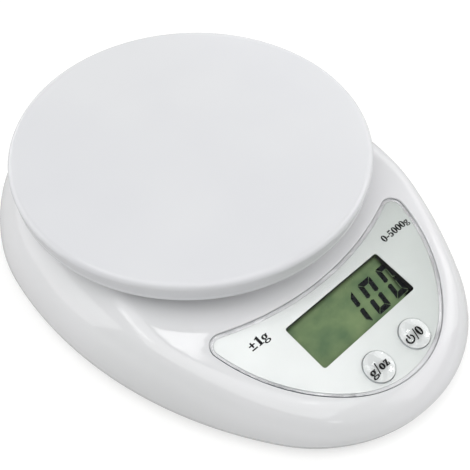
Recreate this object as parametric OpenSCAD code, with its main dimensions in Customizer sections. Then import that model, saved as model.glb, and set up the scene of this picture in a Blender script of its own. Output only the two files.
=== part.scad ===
// Electronic kitchen scale with a round platter and a sloping display panel.
// Millimetres, +Z up, front towards -Y. The origin lies under the middle of the housing, on the table.

/* [Housing] */
// Radius of the rear arc of the housing, seen from above
rear_r = 83; // [81:0.5:86]
// Radius of the front arc of the housing, seen from above
front_r = 66; // [64:0.5:70]
// Radius of the long side arcs that join the two
side_r = 170; // [150:5:220]
// Distance between the centres of the rear and front arcs
centre_gap = 75; // [73:0.5:80]
// Height of the flat deck under the platter
deck_z = 38.5; // [38:0.5:42]
// Height of the seam between the lower and upper shells
seam_z = 7.5; // [7:0.25:8.5]
// Width of the rounded shoulder along the rear of the upper shell
shoulder_rear = 27; // [22:1:30]
// Width of the rounded shoulder round the display panel
shoulder_front = 10; // [9:0.5:11]
// Lean of the side walls from the seam to the deck
flare = 2; // [1:0.25:3]
// Width of the rounded edge of the lower shell
base_round = 5; // [3.5:0.5:6]
// Thickness of the moulded walls
wall = 2.2; // [2:0.1:2.5]
// How far the lower shell stands back at the seam
seam_step = 0.3; // [0.2:0.1:0.5]
// Height of the lip that joins the shells inside
lip_h = 1.2; // [0.8:0.1:1.3]
// Clearance between the lip and the upper shell
lip_gap = 0.3; // [0.25:0.05:0.5]
// Thickness of that lip
lip_t = 1; // [0.8:0.1:1.2]

/* [Feet] */
// Diameter of a rubber foot
foot_d = 12; // [10:0.5:14]
// How far the feet stand below the lower shell
foot_h = 1.5; // [1.2:0.1:1.8]
// Depth of the recess that holds a foot
foot_recess = 1; // [0.8:0.1:1.2]

/* [Platter] */
// Diameter of the weighing platter
platter_d = 150; // [140:1:155]
// Height of the platter from its rim to its top
platter_h = 9; // [8.5:0.5:10]
// Thickness of the platter's skin and rim
platter_t = 2.5; // [2:0.25:3]
// Radius of the rounded upper edge of the platter
platter_round = 2.5; // [2:0.25:3]
// Draft of the platter's rim towards its lower edge
platter_draft = 0.8; // [0.4:0.1:1.2]
// Air gap between the platter's rim and the deck
platter_gap = 2.5; // [2:0.25:3.5]
// Distance of the platter's centre in front of the rear arc's centre
platter_offset = 6.5; // [4:0.5:9]

/* [Platter carrier] */
// Radius from the centre to the middle of a rubber pad
pad_circle = 50; // [44:1:56]
// Diameter of a rubber pad
pad_d = 10; // [8:0.5:12]
// Height of a rubber pad above the carrier
pad_h = 1; // [0.8:0.1:1.2]
// Width of a carrier arm
arm_w = 12; // [10:0.5:13]
// Thickness of the carrier
arm_t = 3; // [2.5:0.25:3]
// Diameter of the carrier's centre
carrier_d = 34; // [30:1:40]
// Diameter of the hub post
hub_d = 22; // [20:0.5:24]
// Clearance round the hub post in the deck
hub_gap = 4; // [3:0.5:5]

/* [Load cell] */
// Length of the load cell
cell_l = 80; // [76:1:84]
// Width and height of the load cell
cell_w = 12.7; // [12:0.1:13]
// Height of the underside of the load cell
cell_z = 11; // [10.5:0.25:11.5]
// Distance from the cell's end to its first screw
cell_hole_in = 5; // [4.5:0.5:6]
// Distance between the two screws at one end
cell_hole_step = 10; // [9:0.5:11]
// Thickness of the spacer plates
spacer_t = 1.5; // [1.2:0.1:1.8]
// Thickness of the steel bracket
bracket_t = 2; // [1.5:0.25:2.5]
// Width of the steel bracket
bracket_w = 26; // [25:0.5:30]
// Downward travel of the platter at full load
cell_travel = 0.4; // [0.2:0.05:0.5]

/* [Display panel] */
// Distance from the platter's centre to the middle of the display
panel_reach = 91; // [89:0.5:92]
// Height of the panel's face at the middle of the display
panel_z = 24.3; // [23.5:0.25:25]
// Slope of the panel
panel_tilt = 10; // [9:0.5:11]
// Radius of the panel's front edge
panel_front_r = 43; // [41:0.5:45]
// Radius of the panel's side edges
panel_side_r = 74; // [72:0.5:80]
// Radius of the panel's hollow rear edge
panel_rear_r = 133; // [125:1:145]
// Radius of the panel's two rear corners
panel_corner_r = 5; // [4:0.25:6]
// Distance from the middle of the display to the panel's front edge
panel_front = 33.7; // [33:0.1:34]
// Distance from the middle of the display to the panel's rear edge
panel_rear = 16.2; // [15.6:0.1:17]
// Thickness of the clear cover
cover_t = 1.5; // [1.3:0.1:1.8]
// Thickness of the printed film behind the cover
film_t = 0.3; // [0.2:0.05:0.4]
// Width of the clear rim outside the film
film_rim = 1.3; // [1:0.1:1.6]
// Clearance round the cover
cover_gap = 0.35; // [0.25:0.05:0.5]
// Thickness of the deck under the panel
seat_t = 2.2; // [2:0.1:2.4]

/* [Display] */
// Width of the window
window_w = 53; // [50:0.5:53]
// Height of the window
window_h = 21; // [19:0.5:21]
// Radius of the window's corners
window_r = 1.2; // [0.8:0.1:2]
// Depth from the panel's face to the display glass
glass_depth = 4.3; // [4.1:0.1:4.6]
// Margin of the glass outside the window, left and right
glass_side = 2; // [1.8:0.1:2.2]
// Margin of the glass outside the window, front and rear
glass_end = 2.5; // [2.2:0.1:2.6]
// Thickness of one layer of the display glass
glass_t = 1.1; // [0.9:0.1:1.1]
// Thickness of the reflector sheet
reflector_t = 0.2; // [0.1:0.05:0.3]
// Wall of the display frame
frame_t = 2; // [1.8:0.1:2.2]
// Width of a connector strip
strip_w = 2; // [1.8:0.1:2.2]

/* [Buttons] */
// Diameter of a button
button_d = 12.5; // [11.5:0.25:12.75]
// Clearance round a button
button_gap = 0.2; // [0.15:0.05:0.3]
// Height of a button's dome
button_dome = 1.4; // [1:0.1:1.8]
// Distance from the middle of the display to the row of buttons
button_row = 23.2; // [23:0.1:23.6]
// Distance of each button from the centre line
button_side = 10.5; // [10:0.25:12]
// Travel of a button
button_travel = 0.5; // [0.3:0.05:0.6]
// Width of the flange that keeps a button in
button_flange = 1.25; // [1:0.05:1.4]

/* [Circuit board] */
// Depth from the panel's face to the top of the circuit board
board_depth = 10; // [10:0.1:10.4]
// Thickness of the circuit board
board_t = 1.6; // [1.2:0.1:1.8]
// Half of the circuit board's width
board_side = 40; // [39.5:0.25:40.5]
// Half of the circuit board's width at its front edge
board_front_side = 30; // [28:0.5:31]
// Distance from the middle of the display to the board's front edge
board_front = 28.5; // [28:0.1:28.8]
// Distance from the middle of the display to the board's rear edge
board_rear = 20; // [19.5:0.25:20.5]

/* [Battery bay] */
// Length of a battery cell
battery_l = 50.5; // [49:0.25:50.5]
// Diameter of a battery cell
battery_d = 14.3; // [13.5:0.1:14.5]
// Distance of the bay's middle behind the middle of the display
bay_back = 48.5; // [48:0.25:50]
// Clearance round the cells in the bay
bay_gap = 0.5; // [0.4:0.05:0.6]
// Space left for a spring at the end of a cell
spring_room = 9.6; // [9:0.1:10]
// Thickness of the bay's walls
bay_wall = 1.6; // [1.4:0.1:1.8]
// Thickness of a contact plate
contact_t = 0.4; // [0.3:0.05:0.5]
// Diameter of the spring wire
spring_wire = 0.8; // [0.7:0.05:0.9]
// Turns of a spring
spring_turns = 6; // [4:1:6]
// Thickness of the battery door
door_t = 2; // [1.8:0.1:2.2]
// Clearance round the battery door
door_gap = 0.3; // [0.25:0.05:0.4]

/* [Screws and wires] */
// Shank diameter of a housing screw
screw_d = 3; // [2.5:0.1:3.2]
// Shank diameter of a load cell screw
cell_screw_d = 4; // [3.5:0.1:4]
// Clearance round a screw's shank
screw_gap = 0.05; // [0.03:0.01:0.1]
// Diameter of a screw boss
boss_d = 8; // [7.5:0.1:8.5]
// Diameter of a wire
wire_d = 1.2; // [0.8:0.1:1.4]

/* [Hidden] */
$fn = 96;
eps = 0.01;
cut = 1;

// Outline of the housing: a rear arc, two side arcs and a front arc that run into each other
total_l = rear_r + centre_gap + front_r;
rear_y = total_l / 2 - rear_r;
front_y = front_r - total_l / 2;
side_y = ((side_r - rear_r) ^ 2 - (side_r - front_r) ^ 2 + front_y ^ 2 - rear_y ^ 2) / (2 * (front_y - rear_y));
side_x = sqrt((side_r - rear_r) ^ 2 - (side_y - rear_y) ^ 2);
rear_turn = atan2(rear_y - side_y, side_x);
front_turn = atan2(front_y - side_y, side_x);
rear_steps = 16;
side_steps = 14;
front_steps = 14;
// Each outline point is [x, y, direction of the outward normal]
right_half = [
    for (i = [0:rear_steps - 1]) let (a = 90 + (rear_turn - 90) * i / rear_steps)
        [rear_r * cos(a), rear_y + rear_r * sin(a), a],
    for (i = [0:side_steps - 1]) let (a = rear_turn + (front_turn - rear_turn) * i / side_steps)
        [side_r * cos(a) - side_x, side_y + side_r * sin(a), a],
    for (i = [0:front_steps]) let (a = front_turn - (90 + front_turn) * i / front_steps)
        [front_r * cos(a), front_y + front_r * sin(a), a]
];
outline = [
    each right_half,
    for (i = [len(right_half) - 2:-1:1]) [-right_half[i].x, right_half[i].y, 180 - right_half[i].z]
];

// Places that other sizes are measured from
platter_y = rear_y - platter_offset;
panel_y = platter_y - panel_reach;
bay_y = panel_y + bay_back;
base_z = foot_h;
floor_z = base_z + wall;
rim_z = deck_z + platter_gap;
lip_in = wall + seam_step + lip_gap;
platter_top = rim_z + platter_h;
skin_z = platter_top - platter_t;

// Upper shell
bend_blend = 6;
shoulder_blend = 60;
dome_steps = 7;
base_steps = 4;
hub_hole_d = hub_d + 2 * hub_gap;
collar_h = 1;
collar_t = 2;
upper_boss_d = boss_d - 1;
tip_gap = 0.5;
pocket_gap = 0.05;

// Panel stack, as depths below the panel's face
film_z = -cover_t;
seat_z = -cover_t - seat_t;
frame_gap = 0.2;
glass_gap = 0.1;
glass_ledge = 2;
reflector_in = 1;
strip_gap = 0.2;
strip_in = 2;
board_z = -board_depth;
board_under = board_z - board_t;
glass_z = -glass_depth;
board_waist = 8;

// Buttons and the switches under them
button_collar = 0.3;
button_hole_d = button_d + 2 * button_gap;
flange_gap = 0.2;
flange_t = 1;
stem_d = 4;
switch_w = 6;
switch_h = 3.7;
switch_floor = 0.8;
switch_leg = [1, 0.8, 1];
plunger_d = 3.4;
plunger_z = board_z + switch_floor + button_travel + 0.3;
stem_z = board_z + switch_h + button_travel + 0.2;

// Carrying parts
cell_top = cell_z + cell_w;
bracket_z = cell_top + spacer_t;
hub_z = bracket_z + bracket_t;
carrier_z = skin_z - pad_h - arm_t;
pad_recess = 0.5;
pad_gap = 0.05;
seat_edge = 2;
seat_side = 3;
cell_rib_t = 1.5;
cell_rib_h = 3;
stop_d = 5;
web_t = 1.35;
cell_slot_h = 4;
sealant_t = 0.6;
sealant_l = 12;
sealant_w = 5;
lead_x = -22.4;
cell_hole_x = [cell_l / 2 - cell_hole_in, cell_l / 2 - cell_hole_in - cell_hole_step];
spacer_l = cell_hole_step + 2 * cell_hole_in;
cell_head_d = 7.5;
cell_head_h = 2.5;
cell_head_z = base_z + 1;
cell_screw_in = 9;
hub_screw_d = 3;
hub_screw_y = cell_w / 2 + hub_screw_d + 0.2;
hub_screw_head = 5;
hub_screw_head_h = 1.8;
hub_flange_h = 2.5;
carrier_screw_l = 10;
counterbore = 1.8;
stiffener = [2, 1.5];

// Battery bay
battery_step = battery_d / 2 + bay_gap / 2;
battery_nub = 1.2;
battery_nub_d = 5.4;
nub_gap = 0.5;
bay_l = battery_l + spring_room + 2 * contact_t + nub_gap;
bay_w = 4 * battery_step + 2 * bay_gap;
bay_floor = base_z + door_t + 0.1;
battery_z = bay_floor + 0.2 + battery_d / 2;
bay_top = battery_z + battery_d / 2 + bay_gap;
door_l = bay_l + 4;
door_w = bay_w + 4.6;
door_round = 2;
hinge_y = bay_y - door_w / 2;
contact_x = bay_l / 2 - contact_t;
contact_w = 12;
contact_low = battery_z - 5;
contact_high = battery_z + 4.6;
contact_button_d = 5;
tab_x1 = bay_l / 2 + bay_wall + 2;
tab_top = battery_z + 4.9;
tab_w = 3;
tab_gap = 0.5;
hook_w = 6;
hook_x = 18;
hook_t = 1.4;
hook_gap = 0.5;
hook_room = 5;
latch_w = 10;
latch_t = 1.2;
latch_gap = 0.8;
latch_h = 6;
latch_room = 9;

// Housing screws and their wells, set in from the rear, side and front arcs
boss_in = 11;
rear_boss = (rear_r - boss_in) * [cos(48), sin(48)] + [0, rear_y];
side_boss = (side_r - boss_in) * [cos(4.75), -sin(4.75)] + [-side_x, side_y];
front_boss = (front_r - boss_in) * [cos(38), -sin(38)] + [0, front_y];
boss_at = [for (b = [rear_boss, side_boss, front_boss]) for (s = [-1, 1]) [s * b.x, b.y]];
post_top = seam_z + 3;
post_gap = 0.1;
head_d = 2 * screw_d;
head_h = 2;
head_gap = 0.3;
well_z = base_z + 4.5;
screw_tip = post_top + 7;
slot_w = 0.8;
foot_gap = 0.1;
front_foot = [38, 18];
rear_foot = [44, 38];
foot_at = [
    for (s = [-1, 1]) [s * front_foot.x, front_y - front_foot.y],
    for (s = [-1, 1]) [s * rear_foot.x, rear_y + rear_foot.y]
];

// Circuit board screws, as places on the panel plane
board_screw_d = 2;
board_screw_in = 4;
board_head_h = 1.2;
board_boss_d = 5.5;
board_edge = 3.6;
board_boss_at = [
    for (s = [-1, 1]) [s * (board_side - board_edge), board_rear - 6],
    for (s = [-1, 1]) [s * (board_front_side - 4), board_edge - board_front]
];

function smooth(t) = let (c = min(max(t, 0), 1)) c * c * (3 - 2 * c);
function soft_min(a, b, k) = min(a, b) - max(k - abs(a - b), 0) ^ 2 / (4 * k);
function unit(v) = v / norm(v);

// Height of the top of the housing at y: the level deck bends into the plane of the panel
function top_z(y) = soft_min(deck_z, panel_z + (y - panel_y) * tan(panel_tilt), bend_blend);

// Width of the shoulder at y: narrow beside the panel, wide beside the platter
function shoulder(y) = shoulder_front
    + (shoulder_rear - shoulder_front) * smooth((y - front_y) / shoulder_blend);

// Ring of the upper shell at angle a of its rounded section, moved in and down by a wall
function dome_ring(a, inward, down) = [
    for (p = outline)
        let (d = inward + flare * sin(a) + shoulder(p.y) * (1 - cos(a)),
             x = p.x - d * cos(p.z), y = p.y - d * sin(p.z))
        [x, y, seam_z + (top_z(y) - down - seam_z) * sin(a)]
];

// Level ring at height z, moved in from the outline
function level_ring(z, inward) = [for (p = outline) [p.x - inward * cos(p.z), p.y - inward * sin(p.z), z]];

function arc(c, r, a0, a1, n) = [for (i = [0:n]) let (a = a0 + (a1 - a0) * i / n) c + r * [cos(a), sin(a)]];

// Point that lies at distance r0 from c0 and r1 from c1, on the right
function crossing(c0, r0, c1, r1) = let (
    d = norm(c1 - c0), u = (c1 - c0) / d, s = (d * d + r0 * r0 - r1 * r1) / (2 * d), h = sqrt(r0 * r0 - s * s)
) c0 + s * u + h * [-u.y, u.x];

// Outline of the panel: round front, two side arcs, round rear corners and a hollow rear edge
panel_front_c = [0, panel_front_r - panel_front];
panel_join = -53;
panel_side_c = panel_front_c - (panel_side_r - panel_front_r) * [cos(panel_join), sin(panel_join)];
panel_rear_c = [0, panel_rear + panel_rear_r];
panel_corner_c = crossing(panel_rear_c, panel_rear_r + panel_corner_r,
                          panel_side_c, panel_side_r - panel_corner_r);
function heading(from, to) = atan2(to.y - from.y, to.x - from.x);
function panel_right(inward) = let (
    side_a = heading(panel_side_c, panel_corner_c), rear_a = heading(panel_rear_c, panel_corner_c)
) [
    each arc(panel_front_c, panel_front_r - inward, -90, panel_join, 12),
    each arc(panel_side_c, panel_side_r - inward, panel_join, side_a, 12),
    each arc(panel_corner_c, panel_corner_r - inward, side_a, rear_a + 180, 10),
    each arc(panel_rear_c, panel_rear_r + inward, rear_a, -90, 12)
];

module panel_outline(inward = 0) {
    right = panel_right(inward);
    polygon([each right, for (i = [len(right) - 2:-1:1]) [-right[i].x, right[i].y]]);
}

module window_outline(grow = 0) {
    w = window_w / 2 + grow;
    h = window_h / 2 + grow;
    r = window_r + max(grow, 0);
    polygon([
        each arc([w - r, h - r], r, 0, 90, 8), each arc([r - w, h - r], r, 90, 180, 8),
        each arc([r - w, r - h], r, 180, 270, 8), each arc([w - r, r - h], r, 270, 360, 8)
    ]);
}

module on_panel() {
    translate([0, panel_y, panel_z]) rotate([panel_tilt, 0, 0]) children();
}

module egg(inward) {
    polygon([for (p = outline) [p.x - inward * cos(p.z), p.y - inward * sin(p.z)]]);
}

// Closed solid through rings that run alike, its ends closed by strips from side to side
module loft(rings) {
    n = len(rings[0]);
    m = n / 2;
    last = (len(rings) - 1) * n;
    sides = [
        for (k = [0:len(rings) - 2]) for (i = [0:n - 1])
            let (a = k * n + i, b = k * n + (i + 1) % n)
            each [[a, b, b + n], [a, b + n, a + n]]
    ];
    strips = [
        [0, 1, n - 1],
        for (i = [1:m - 2]) each [[i, i + 1, n - i - 1], [i, n - i - 1, n - i]],
        [m - 1, m, m + 1]
    ];
    ends = concat([for (f = strips) [f[2], f[1], f[0]]], [for (f = strips) [for (i = f) i + last]]);
    polyhedron(points = [for (r = rings) each r], faces = concat(sides, ends), convexity = 4);
}

function dome(inward, down) = [for (i = [0:dome_steps]) dome_ring(90 * i / dome_steps, inward, down)];

module dome_solid(inward = 0, down = 0) {
    loft(dome(inward, down));
}

// Space inside the upper shell, carried on below the seam so that it opens downwards
module dome_space() {
    loft([level_ring(seam_z - cut, wall), each dome(wall, wall)]);
}

module tray_solid() {
    loft([for (i = [base_steps:-1:0]) let (a = 90 * i / base_steps)
        level_ring(seam_z - (seam_z - base_z) * sin(a), seam_step + base_round * (1 - cos(a)))]);
}

module tray_space() {
    rise = seam_z - floor_z;
    loft([
        level_ring(floor_z, wall + base_round * 0.6),
        level_ring(floor_z + rise * 0.4, wall + base_round * 0.2),
        level_ring(seam_z + cut, lip_in)
    ]);
}

module block(x0, x1, y0, y1, z0, z1) {
    translate([x0, y0, z0]) cube([x1 - x0, y1 - y0, z1 - z0]);
}

module post(at, d, z0, z1) {
    translate([at.x, at.y, z0]) cylinder(d = d, h = z1 - z0);
}

// Upper shell with its platter hole, panel recess, window, button holes and screw bosses
module upper_shell() {
    color("whitesmoke") difference() {
        union() {
            difference() {
                dome_solid();
                dome_space();
            }
            // Thicker deck under the panel
            intersection() {
                dome_solid(wall / 2, wall / 2);
                on_panel() translate([0, 0, seat_z]) linear_extrude(seat_t + cover_t / 2)
                    panel_outline(-cover_gap - wall);
            }
            // Bosses for the housing screws
            intersection() {
                dome_solid(wall / 2, wall / 2);
                for (p = boss_at) post(p, upper_boss_d, post_top, deck_z);
            }
            // Bosses for the circuit board
            on_panel() for (p = board_boss_at) post(p, board_boss_d, board_z, seat_z + seat_t / 2);
            // Raised collar that keeps spills out of the hub hole
            post([0, platter_y], hub_hole_d + 2 * collar_t, deck_z - wall - collar_t, deck_z + collar_h);
        }
        post([0, platter_y], hub_hole_d, deck_z - 4 * wall, deck_z + collar_h + cut);
        on_panel() translate([0, 0, film_z]) linear_extrude(cover_t + 2 * cut) panel_outline(-cover_gap);
        on_panel() translate([0, 0, seat_z - cut]) linear_extrude(seat_t + 2 * cut)
            window_outline(glass_side + 2 * frame_gap);
        on_panel() for (s = [-1, 1])
            post([s * button_side, -button_row], button_hole_d, seat_z - cut, cut);
        for (p = boss_at) post(p, screw_d + 2 * screw_gap, post_top - cut, screw_tip + tip_gap);
        on_panel() for (p = board_boss_at)
            post(p, board_screw_d + 2 * screw_gap, board_z - cut, board_z + board_screw_in + tip_gap);
    }
}

// Lower shell with its lip, posts, load cell seat, battery bay and the opening for the battery door
module lower_shell() {
    seat_x = cell_l / 2 + seat_edge;
    seat_y = cell_w / 2 + seat_side;
    rib_y = cell_w / 2 + 2;
    color("gainsboro") difference() {
        union() {
            difference() {
                tray_solid();
                tray_space();
            }
            // Lip inside the upper shell
            difference() {
                translate([0, 0, floor_z + 1]) linear_extrude(seam_z + lip_h - floor_z - 1) egg(lip_in);
                translate([0, 0, floor_z]) linear_extrude(seam_z + lip_h) egg(lip_in + lip_t);
            }
            for (p = boss_at) post(p, boss_d, floor_z - eps, post_top - post_gap);
            // Seat of the load cell, with a rib on each side
            block(-seat_x, spacer_l + seat_edge - cell_l / 2, platter_y - seat_y, platter_y + seat_y,
                  floor_z - eps, cell_z - spacer_t);
            for (s = [-1, 1])
                block(-seat_x, cell_l / 2, platter_y + s * rib_y - cell_rib_t / 2,
                      platter_y + s * rib_y + cell_rib_t / 2, floor_z - eps, floor_z + cell_rib_h);
            // Stop under the free end of the load cell
            post([cell_l / 2 - spacer_l / 2, platter_y], stop_d, floor_z - eps, cell_z - cell_travel);
            bay_box();
        }
        bay_space();
        // Opening for the battery door
        block(-door_l / 2 - door_gap, door_l / 2 + door_gap, hinge_y - door_gap, hinge_y + door_w + door_gap,
              base_z - cut, bay_floor);
        // Slots for the hooks and the latch of the door
        for (s = [-1, 1])
            block(s * hook_x - hook_w / 2 - hook_gap, s * hook_x + hook_w / 2 + hook_gap, hinge_y - door_gap,
                  bay_y - bay_w / 2 + eps, base_z - cut, floor_z + hook_room);
        block(-latch_w / 2 - latch_gap, latch_w / 2 + latch_gap, bay_y + bay_w / 2 - eps,
              hinge_y + door_w + door_gap, base_z - cut, floor_z + latch_room);
        for (p = boss_at) {
            post(p, head_d + 2 * head_gap, base_z - cut, well_z);
            post(p, screw_d + 2 * screw_gap, base_z, post_top + cut);
        }
        for (x = cell_hole_x) {
            post([-x, platter_y], cell_head_d + 2 * head_gap, base_z - cut, cell_head_z + cell_head_h);
            post([-x, platter_y], cell_screw_d + 2 * screw_gap, base_z, cell_z);
        }
        for (p = foot_at) post(p, foot_d + 2 * foot_gap, base_z - cut, base_z + foot_recess);
    }
}

// Walls and roof of the battery bay
module bay_box() {
    x = bay_l / 2 + bay_wall;
    y = bay_w / 2 + bay_wall;
    block(-x, x, bay_y - y, bay_y + y, bay_floor, bay_top + bay_wall);
}

// Space for the cells, contacts and solder tabs
module bay_space() {
    block(-bay_l / 2, bay_l / 2, bay_y - bay_w / 2, bay_y + bay_w / 2, base_z, bay_top);
    for (s = [-1, 1])
        block(0, bay_l / 2 + bay_wall + cut, bay_y + s * battery_step - tab_w / 2 - tab_gap,
              bay_y + s * battery_step + tab_w / 2 + tab_gap, tab_top - contact_t - tab_gap, tab_top + tab_gap);
}

module foot(i) {
    color("dimgray") post(foot_at[i], foot_d, 0, base_z + foot_recess);
}

module foot_front_left() foot(0);
module foot_front_right() foot(1);
module foot_rear_left() foot(2);
module foot_rear_right() foot(3);

module shell_screws() {
    color("silver") for (p = boss_at) difference() {
        union() {
            post(p, head_d, well_z - head_h, well_z);
            post(p, screw_d, well_z - eps, screw_tip);
        }
        translate([p.x, p.y, well_z - head_h]) cross_slot(head_d * 0.6, 1.2);
    }
}

module cross_slot(l, depth) {
    for (a = [0, 90]) rotate(a) translate([-l / 2, -slot_w / 2, -eps]) cube([l, slot_w, depth]);
}

// Clear cover of the panel: its rim stands on the recess and the film lies in a pocket behind it
module panel_cover() {
    color("aliceblue", 0.6) on_panel() difference() {
        translate([0, 0, film_z]) linear_extrude(cover_t) panel_outline();
        translate([0, 0, film_z - eps]) linear_extrude(film_t + 2 * eps) panel_outline(film_rim - pocket_gap);
        for (s = [-1, 1]) post([s * button_side, -button_row], button_hole_d, film_z - cut, cut);
    }
}

module panel_film() {
    color("silver") on_panel() difference() {
        translate([0, 0, film_z]) linear_extrude(film_t) panel_outline(film_rim);
        translate([0, 0, film_z - cut]) linear_extrude(film_t + 2 * cut) window_outline();
        for (s = [-1, 1]) post([s * button_side, -button_row], button_hole_d, film_z - cut, cut);
    }
}

// Black frame: its neck fills the opening in the deck and its skirt holds the glass over the board
module lcd_frame() {
    w = window_w / 2 + glass_side;
    h = window_h / 2 + glass_end;
    color("black") on_panel() difference() {
        union() {
            translate([0, 0, seat_z - frame_gap - eps]) linear_extrude(seat_t + frame_gap + eps)
                window_outline(glass_side + frame_gap);
            block(-w - frame_t, w + frame_t, -h - frame_t, h + frame_t, board_z, seat_z - frame_gap);
        }
        translate([0, 0, glass_z - cut]) linear_extrude(glass_depth + cut) window_outline(frame_gap);
        block(-w - glass_gap, w + glass_gap, -h - glass_gap, h + glass_gap, board_z - cut, glass_z);
    }
}

// Two layers of glass; the lower one stands out along the front to carry the contacts
module lcd_glass() {
    w = window_w / 2 + glass_side;
    h = window_h / 2 + glass_end;
    color("darkolivegreen") on_panel() {
        block(-w, w, -h, h, glass_z - 2 * glass_t, glass_z - glass_t);
        block(-w, w, glass_ledge - h, h, glass_z - glass_t, glass_z);
    }
}

module lcd_reflector() {
    z = glass_z - 2 * glass_t;
    h = window_h / 2 - reflector_in;
    color("lightgray") on_panel() block(-window_w / 2, window_w / 2, -h, h, z - reflector_t, z);
}

module lcd_connectors() {
    x = window_w / 2 - strip_in;
    y = window_h / 2 + glass_end - strip_gap - strip_w / 2;
    color("dimgray") on_panel() for (s = [-1, 1])
        block(-x, x, s * y - strip_w / 2, s * y + strip_w / 2, board_z, glass_z - 2 * glass_t);
}

// Circuit board, narrower in front where the housing rounds in
module circuit_board() {
    color("darkgreen") on_panel() difference() {
        translate([0, 0, board_under]) linear_extrude(board_t) polygon([
            [-board_side, board_rear], [-board_side, -board_waist], [-board_front_side, -board_front],
            [board_front_side, -board_front], [board_side, -board_waist], [board_side, board_rear]
        ]);
        for (p = board_boss_at) post(p, board_screw_d + 2 * screw_gap, board_under - cut, board_z + cut);
    }
}

module board_screws() {
    head_z = board_under - board_head_h;
    color("silver") on_panel() for (p = board_boss_at) difference() {
        union() {
            post(p, 2 * board_screw_d, head_z, board_under);
            post(p, board_screw_d, board_under - eps, board_z + board_screw_in);
        }
        translate([p.x, p.y, head_z]) cross_slot(1.2 * board_screw_d, 0.6 * board_head_h);
    }
}

// Chip under a drop of black epoxy on the underside of the board
module chip_blob() {
    blob_d = 15;
    blob_h = 1.6;
    blob_y = 4;
    ball_r = (blob_d ^ 2 / 4 + blob_h ^ 2) / (2 * blob_h);
    color("black") on_panel() intersection() {
        translate([0, blob_y, board_under - blob_h + ball_r]) sphere(r = ball_r);
        post([0, blob_y], blob_d, board_under - blob_h, board_under);
    }
}

// Small parts on the underside of the board: chips, a crystal and two capacitors
module board_components() {
    resistor = [1.6, 3.2, 0.9];
    memory = [7, 5, 1.6];
    crystal = [11, 3.6, 3.4];
    capacitor_d = 5;
    capacitor_h = 4;
    pitch = 4;
    color("tan") on_panel() {
        for (i = [0:3]) {
            under_board([i * pitch - 28, 8], resistor);
            under_board([i * pitch + 16, -2], resistor);
        }
        under_board([-27, -14], memory);
        under_board([-6, -20], crystal);
        for (x = [18, 25]) post([x, 11], capacitor_d, board_under - capacitor_h, board_under);
    }
}

module under_board(at, size) {
    block(at.x, at.x + size.x, at.y, at.y + size.y, board_under - size.z, board_under);
}

// Push switch on the board: square body, four legs and a bore for its plunger
module switch_body(side) {
    half = switch_w / 2;
    leg = switch_leg / 2;
    color("dimgray") on_panel() translate([side * button_side, -button_row, board_z]) difference() {
        union() {
            block(-half, half, -half, half, 0, switch_h);
            for (s = [-1, 1]) for (t = [-1, 1]) {
                at = [s * (half + leg.x - 0.1), t * (half - 1)];
                block(at.x - leg.x, at.x + leg.x, at.y - leg.y, at.y + leg.y, 0, switch_leg.z);
            }
        }
        post([0, 0], plunger_d + 0.2, switch_floor, switch_h + cut);
    }
}

module switch_unit() switch_body(-1);
module switch_power() switch_body(1);

// Clear button: dome, collar, flange that keeps it in and stem down to the switch
module button(side) {
    at = [side * button_side, -button_row];
    ball_r = (button_d ^ 2 / 4 + button_dome ^ 2) / (2 * button_dome);
    flange_z = seat_z - flange_gap;
    color("aliceblue") on_panel() {
        post(at, button_d, flange_z - eps, button_collar);
        post(at, button_d + 2 * button_flange, flange_z - flange_t, flange_z);
        post(at, stem_d, stem_z, flange_z - flange_t + eps);
        intersection() {
            translate([at.x, at.y, button_collar + button_dome - ball_r]) sphere(r = ball_r);
            post(at, button_d, button_collar - eps, button_collar + button_dome + cut);
        }
    }
}

module plunger(side) {
    color("black") on_panel() post([side * button_side, -button_row], plunger_d, plunger_z, stem_z);
}

module button_unit() button(-1);
module plunger_unit() plunger(-1);
module button_power() button(1);
module plunger_power() plunger(1);

// Aluminium load cell with its two joined bores and a pair of tapped holes at each end
module load_cell() {
    bore_d = cell_w - 2 * web_t;
    bore_x = bore_d * 0.8;
    color("lightsteelblue") translate([0, platter_y, cell_z]) difference() {
        block(-cell_l / 2, cell_l / 2, -cell_w / 2, cell_w / 2, 0, cell_w);
        for (s = [-1, 1]) translate([s * bore_x, cell_w, cell_w / 2]) rotate([90, 0, 0])
            cylinder(d = bore_d, h = 2 * cell_w);
        block(-bore_x, bore_x, -cell_w, cell_w, (cell_w - cell_slot_h) / 2, (cell_w + cell_slot_h) / 2);
        for (s = [-1, 1]) for (x = cell_hole_x)
            post([s * x, 0], cell_screw_d + 2 * screw_gap, -cut, cell_w + cut);
    }
}

// White sealant over the gauges, above and below the thin parts of the cell
module strain_gauges() {
    color("white") {
        block(lead_x, sealant_l, platter_y - sealant_w, platter_y + sealant_w, cell_top, cell_top + sealant_t);
        block(-sealant_l, sealant_l, platter_y - sealant_w, platter_y + sealant_w, cell_z - sealant_t, cell_z);
    }
}

module spacer(side, z) {
    color("silver") difference() {
        translate([side * (cell_l / 2 - spacer_l / 2), platter_y, z + spacer_t / 2])
            cube([spacer_l, cell_w, spacer_t], center = true);
        for (x = cell_hole_x)
            post([side * x, platter_y], cell_screw_d + 2 * screw_gap, z - cut, z + spacer_t + cut);
    }
}

module load_cell_spacer_fixed() spacer(-1, cell_z - spacer_t);
module load_cell_spacer_free() spacer(1, cell_top);

module load_cell_screws_fixed() {
    color("silver") for (x = cell_hole_x) {
        post([-x, platter_y], cell_head_d, cell_head_z, cell_head_z + cell_head_h);
        post([-x, platter_y], cell_screw_d, cell_head_z + cell_head_h - eps, cell_z + cell_screw_in);
    }
}

module load_cell_screws_free() {
    color("silver") for (x = cell_hole_x) {
        post([x, platter_y], cell_head_d, hub_z, hub_z + cell_head_h);
        post([x, platter_y], cell_screw_d, cell_top - cell_screw_in, hub_z + eps);
    }
}

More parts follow.
